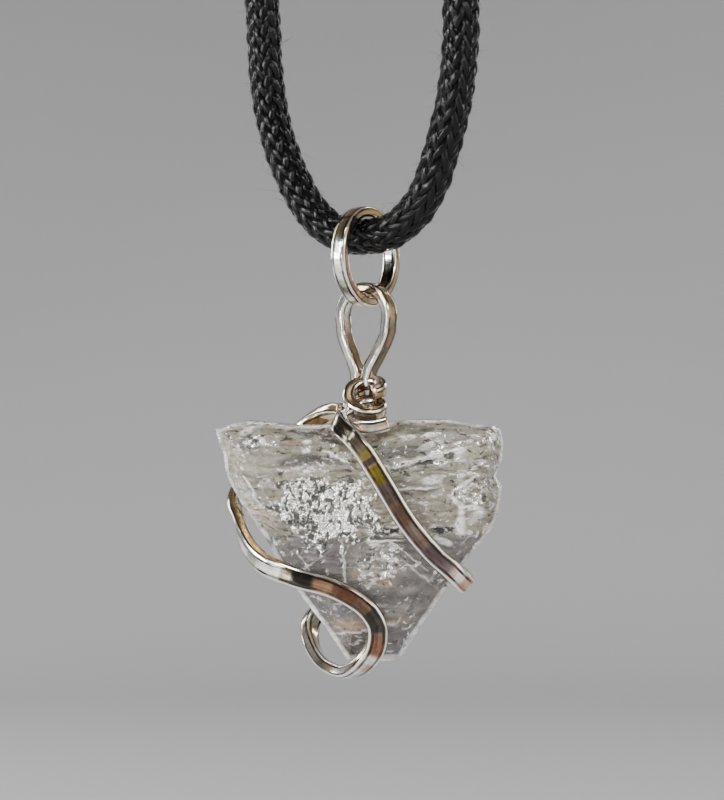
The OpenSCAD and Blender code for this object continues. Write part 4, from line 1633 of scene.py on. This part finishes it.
    def lively(self, grid: Points, cloud: Points, lower: Points) -> Points:
        """How full of flecks it is: more above the inner line, and in a patch below its middle.

        The smooth patch on the left has fewer.

        Args:
            grid: Points of the plain form.
            cloud: Slow noise at each.
            lower: How far each lies below the inner line.

        Returns:
            A share from 0 to 1 for each.
        """
        x, z = grid[..., 0], grid[..., 2]
        lively = 0.04 + 0.76 * (1 - lower) + 0.35 * cloud * ease(x, -7, -2)
        lively *= 1 - 0.75 * ease(-np.hypot((x + 9) / 3.6, (z + 18.2) / 1.2), -1, -0.6)
        lively += ease(-np.hypot((x - 1.2) / 3.2, (z + 26) / 2.6), -1, -0.5)
        return np.clip(lively, 0, 1)

    def surface(self) -> Surface:
        """The dressed form with its colours.

        The plain form is moved along its own outward direction by waves, growth lines, the
        broken veil and the marks.

        Returns:
            The surface in metres. Its Tint is the colour. Its Veil holds, as red, how
            broken it is, as green how clear, and as blue how lively.
        """
        grid, row = self.base()
        out = self.out(grid)
        front = ease(-out[..., 1], 0.2, 0.8)
        lower = (1 - ease(grid[..., 2], *self.lower_from)) * (0.2 + 0.8 * front)
        cloud = value_noise(grid, 1.7, 52)
        broken = self.crumble(grid) * front
        height = self.shift(grid, broken, front)
        tint = self.tint(grid, cloud, lower, front)
        clear = self.mark(grid, front, tint, height)
        tint += self.glow(grid, row)[..., None] * (np.array(Tone.WHITE.value) - tint)
        moved = grid + np.clip(height, self.deepest, self.highest)[..., None] * out
        moved[..., 2] += LOW_Z
        full = np.ones_like(cloud)
        veil = np.stack([broken, clear, self.lively(grid, cloud, lower), full], axis=-1)
        colours = np.concatenate([np.clip(tint, 0, 1), full[..., None]], axis=-1)
        share = np.arange(grid.shape[1]) / grid.shape[1]
        uv = np.stack(np.broadcast_arrays(share, np.arange(len(grid))[:, None] / self.map_rows), axis=-1)
        return Surface(moved * MM, uv, colours={"Tint": colours, "Veil": veil})

    def make(self, quartz: bpy.types.Material) -> bpy.types.Object:
        """Builds the crystal and dresses it.

        Args:
            quartz: Its material.

        Returns:
            The crystal.
        """
        obj = piece("rough_crystal", [self.surface()])
        obj.data.materials.append(quartz)
        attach(obj, Body.PENDANT.value)
        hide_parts("crystal")
        return obj


# Studio and camera


# The lights: name, place from the pendant, width and height in metres, power in watts, colour
LIGHTS = [
    ("key", (-0.84, -0.54, 0.32), (0.34, 0.34), 12.0, (1.0, 0.99, 0.97)),
    ("fill", (0.75, -0.62, 0.25), (0.8, 0.8), 4.5, (1.0, 0.95, 0.88)),
    ("rim_left", (-0.7, 0.5, 0.35), (0.12, 0.7), 5.0, (0.97, 0.98, 1.0)),
    ("rim_right", (0.65, 0.55, 0.4), (0.12, 0.7), 2.5, (0.97, 0.98, 1.0)),
]

# Small lights that put glints on wire and crystal: place from the pendant
SPARKS = [
    (-0.45, -0.8, 0.45), (-0.9, -0.3, 0.02), (0.35, -0.8, 0.4), (-0.15, -0.6, 0.8),
    (-0.62, -0.78, 0.0),
]


@dataclass
class Studio:
    """A wide paper bowl under soft lights, and the camera at the pendant's own height."""

    floor_z: float = -0.32
    flat_radius: float = 0.9
    reach: float = 2.8
    rim: float = 1.7
    floor_points: int = 141
    sky: Colour = (0.62, 0.6, 0.58)
    sky_strength: float = 0.35
    centre: Triple = (0.0, 0.0, -0.17)
    spark_size: float = 0.15
    spark_watts: float = 1.8
    camera_at: Triple = (-0.00032, -0.17, -0.17215)
    lens: float = 94.9
    sensor: float = 36.0

    def bowl(self, paper: bpy.types.Material) -> bpy.types.Object:
        """The floor: flat in the middle, rising smoothly to a far rim on all sides.

        Its height is a smooth step of the distance from the middle.

        Args:
            paper: Its material.

        Returns:
            The floor.
        """
        side = np.linspace(-self.reach, self.reach, self.floor_points)
        x, y = np.meshgrid(side, side)
        z = self.floor_z + self.rim * ease(np.hypot(x, y), self.flat_radius, self.reach)
        index = np.arange(x.size).reshape(x.shape)
        quads = np.stack([index[:-1, :-1], index[:-1, 1:], index[1:, 1:], index[1:, :-1]], axis=-1)
        mesh = bpy.data.meshes.new("studio_floor")
        mesh.from_pydata(np.stack([x, y, z], axis=-1).reshape(-1, 3), [], quads.reshape(-1, 4).tolist())
        mesh.polygons.foreach_set("use_smooth", np.full(len(mesh.polygons), True))
        floor = bpy.data.objects.new("studio_floor", mesh)
        bpy.context.scene.collection.objects.link(floor)
        floor.data.materials.append(paper)
        return floor

    def light(
        self, name: str, at: Triple, size: tuple[float, float], watts: float, colour: Colour
    ) -> bpy.types.Object:
        """A soft rectangular light that faces the pendant.

        Args:
            name: The light's name.
            at: Its place, measured from the pendant.
            size: Its width and height.
            watts: Its power.
            colour: Its colour.

        Returns:
            The light.
        """
        data = bpy.data.lights.new(name, "AREA")
        data.shape = "RECTANGLE"
        data.size, data.size_y = size
        data.energy = watts
        data.color = colour
        lamp = bpy.data.objects.new(name, data)
        direction = -Vector(at)
        lamp.location = Vector(self.centre) - direction
        lamp.rotation_euler = direction.to_track_quat("-Z", "Y").to_euler()
        lamp.visible_camera = False
        bpy.context.scene.collection.objects.link(lamp)
        return lamp

    def lights(self) -> None:
        """A key light, a fill, two strips behind for the rims, and five small sparks.

        Each one faces the pendant.
        """
        for name, at, size, watts, colour in LIGHTS:
            self.light(name, at, size, watts, colour)
        for k, at in enumerate(SPARKS):
            self.light(f"spark_{k}", at, (self.spark_size,) * 2, self.spark_watts, (1.0, 1.0, 1.0))

    def world(self) -> None:
        """Dim, slightly warm light from the room above the bowl."""
        world = bpy.data.worlds.new("room")
        world.use_nodes = True
        shade = world.node_tree.nodes["Background"]
        shade.inputs["Color"].default_value = (*self.sky, 1)
        shade.inputs["Strength"].default_value = self.sky_strength
        bpy.context.scene.world = world

    def camera(self) -> bpy.types.Object:
        """The camera: level, straight in front of the pendant, 170 mm from the cord.

        Returns:
            The camera.
        """
        data = bpy.data.cameras.new("camera")
        data.sensor_width = self.sensor
        data.lens = self.lens
        data.clip_start = 0.01
        camera = bpy.data.objects.new("camera", data)
        camera.location = self.camera_at
        camera.rotation_euler = (np.pi / 2, 0.0, 0.0)
        bpy.context.scene.collection.objects.link(camera)
        bpy.context.scene.camera = camera
        return camera

    def make(self, paper: bpy.types.Material) -> None:
        """Sets up the whole studio.

        Args:
            paper: The floor's material.
        """
        self.bowl(paper)
        self.lights()
        self.world()
        self.camera()


def main() -> None:
    """Builds and dresses the pendant, piece by piece, in front of the camera."""
    logging.basicConfig(level=logging.INFO, format="%(message)s")
    Studio().make(Paper().material())
    silver = Silver().material()
    clasp = BarrelClasp().make(Steel().material())
    made = BraidedCord().make(WaxedYarn().material(), clasp)
    made += [clasp, JumpRing().make(silver), WireWrap().make(silver)]
    made.append(Crystal().make(Quartz().material()))
    for obj in made:
        LOG.info("%s: %d vertices, %d faces", obj.name, len(obj.data.vertices), len(obj.data.polygons))


if __name__ == "__main__":
    main()
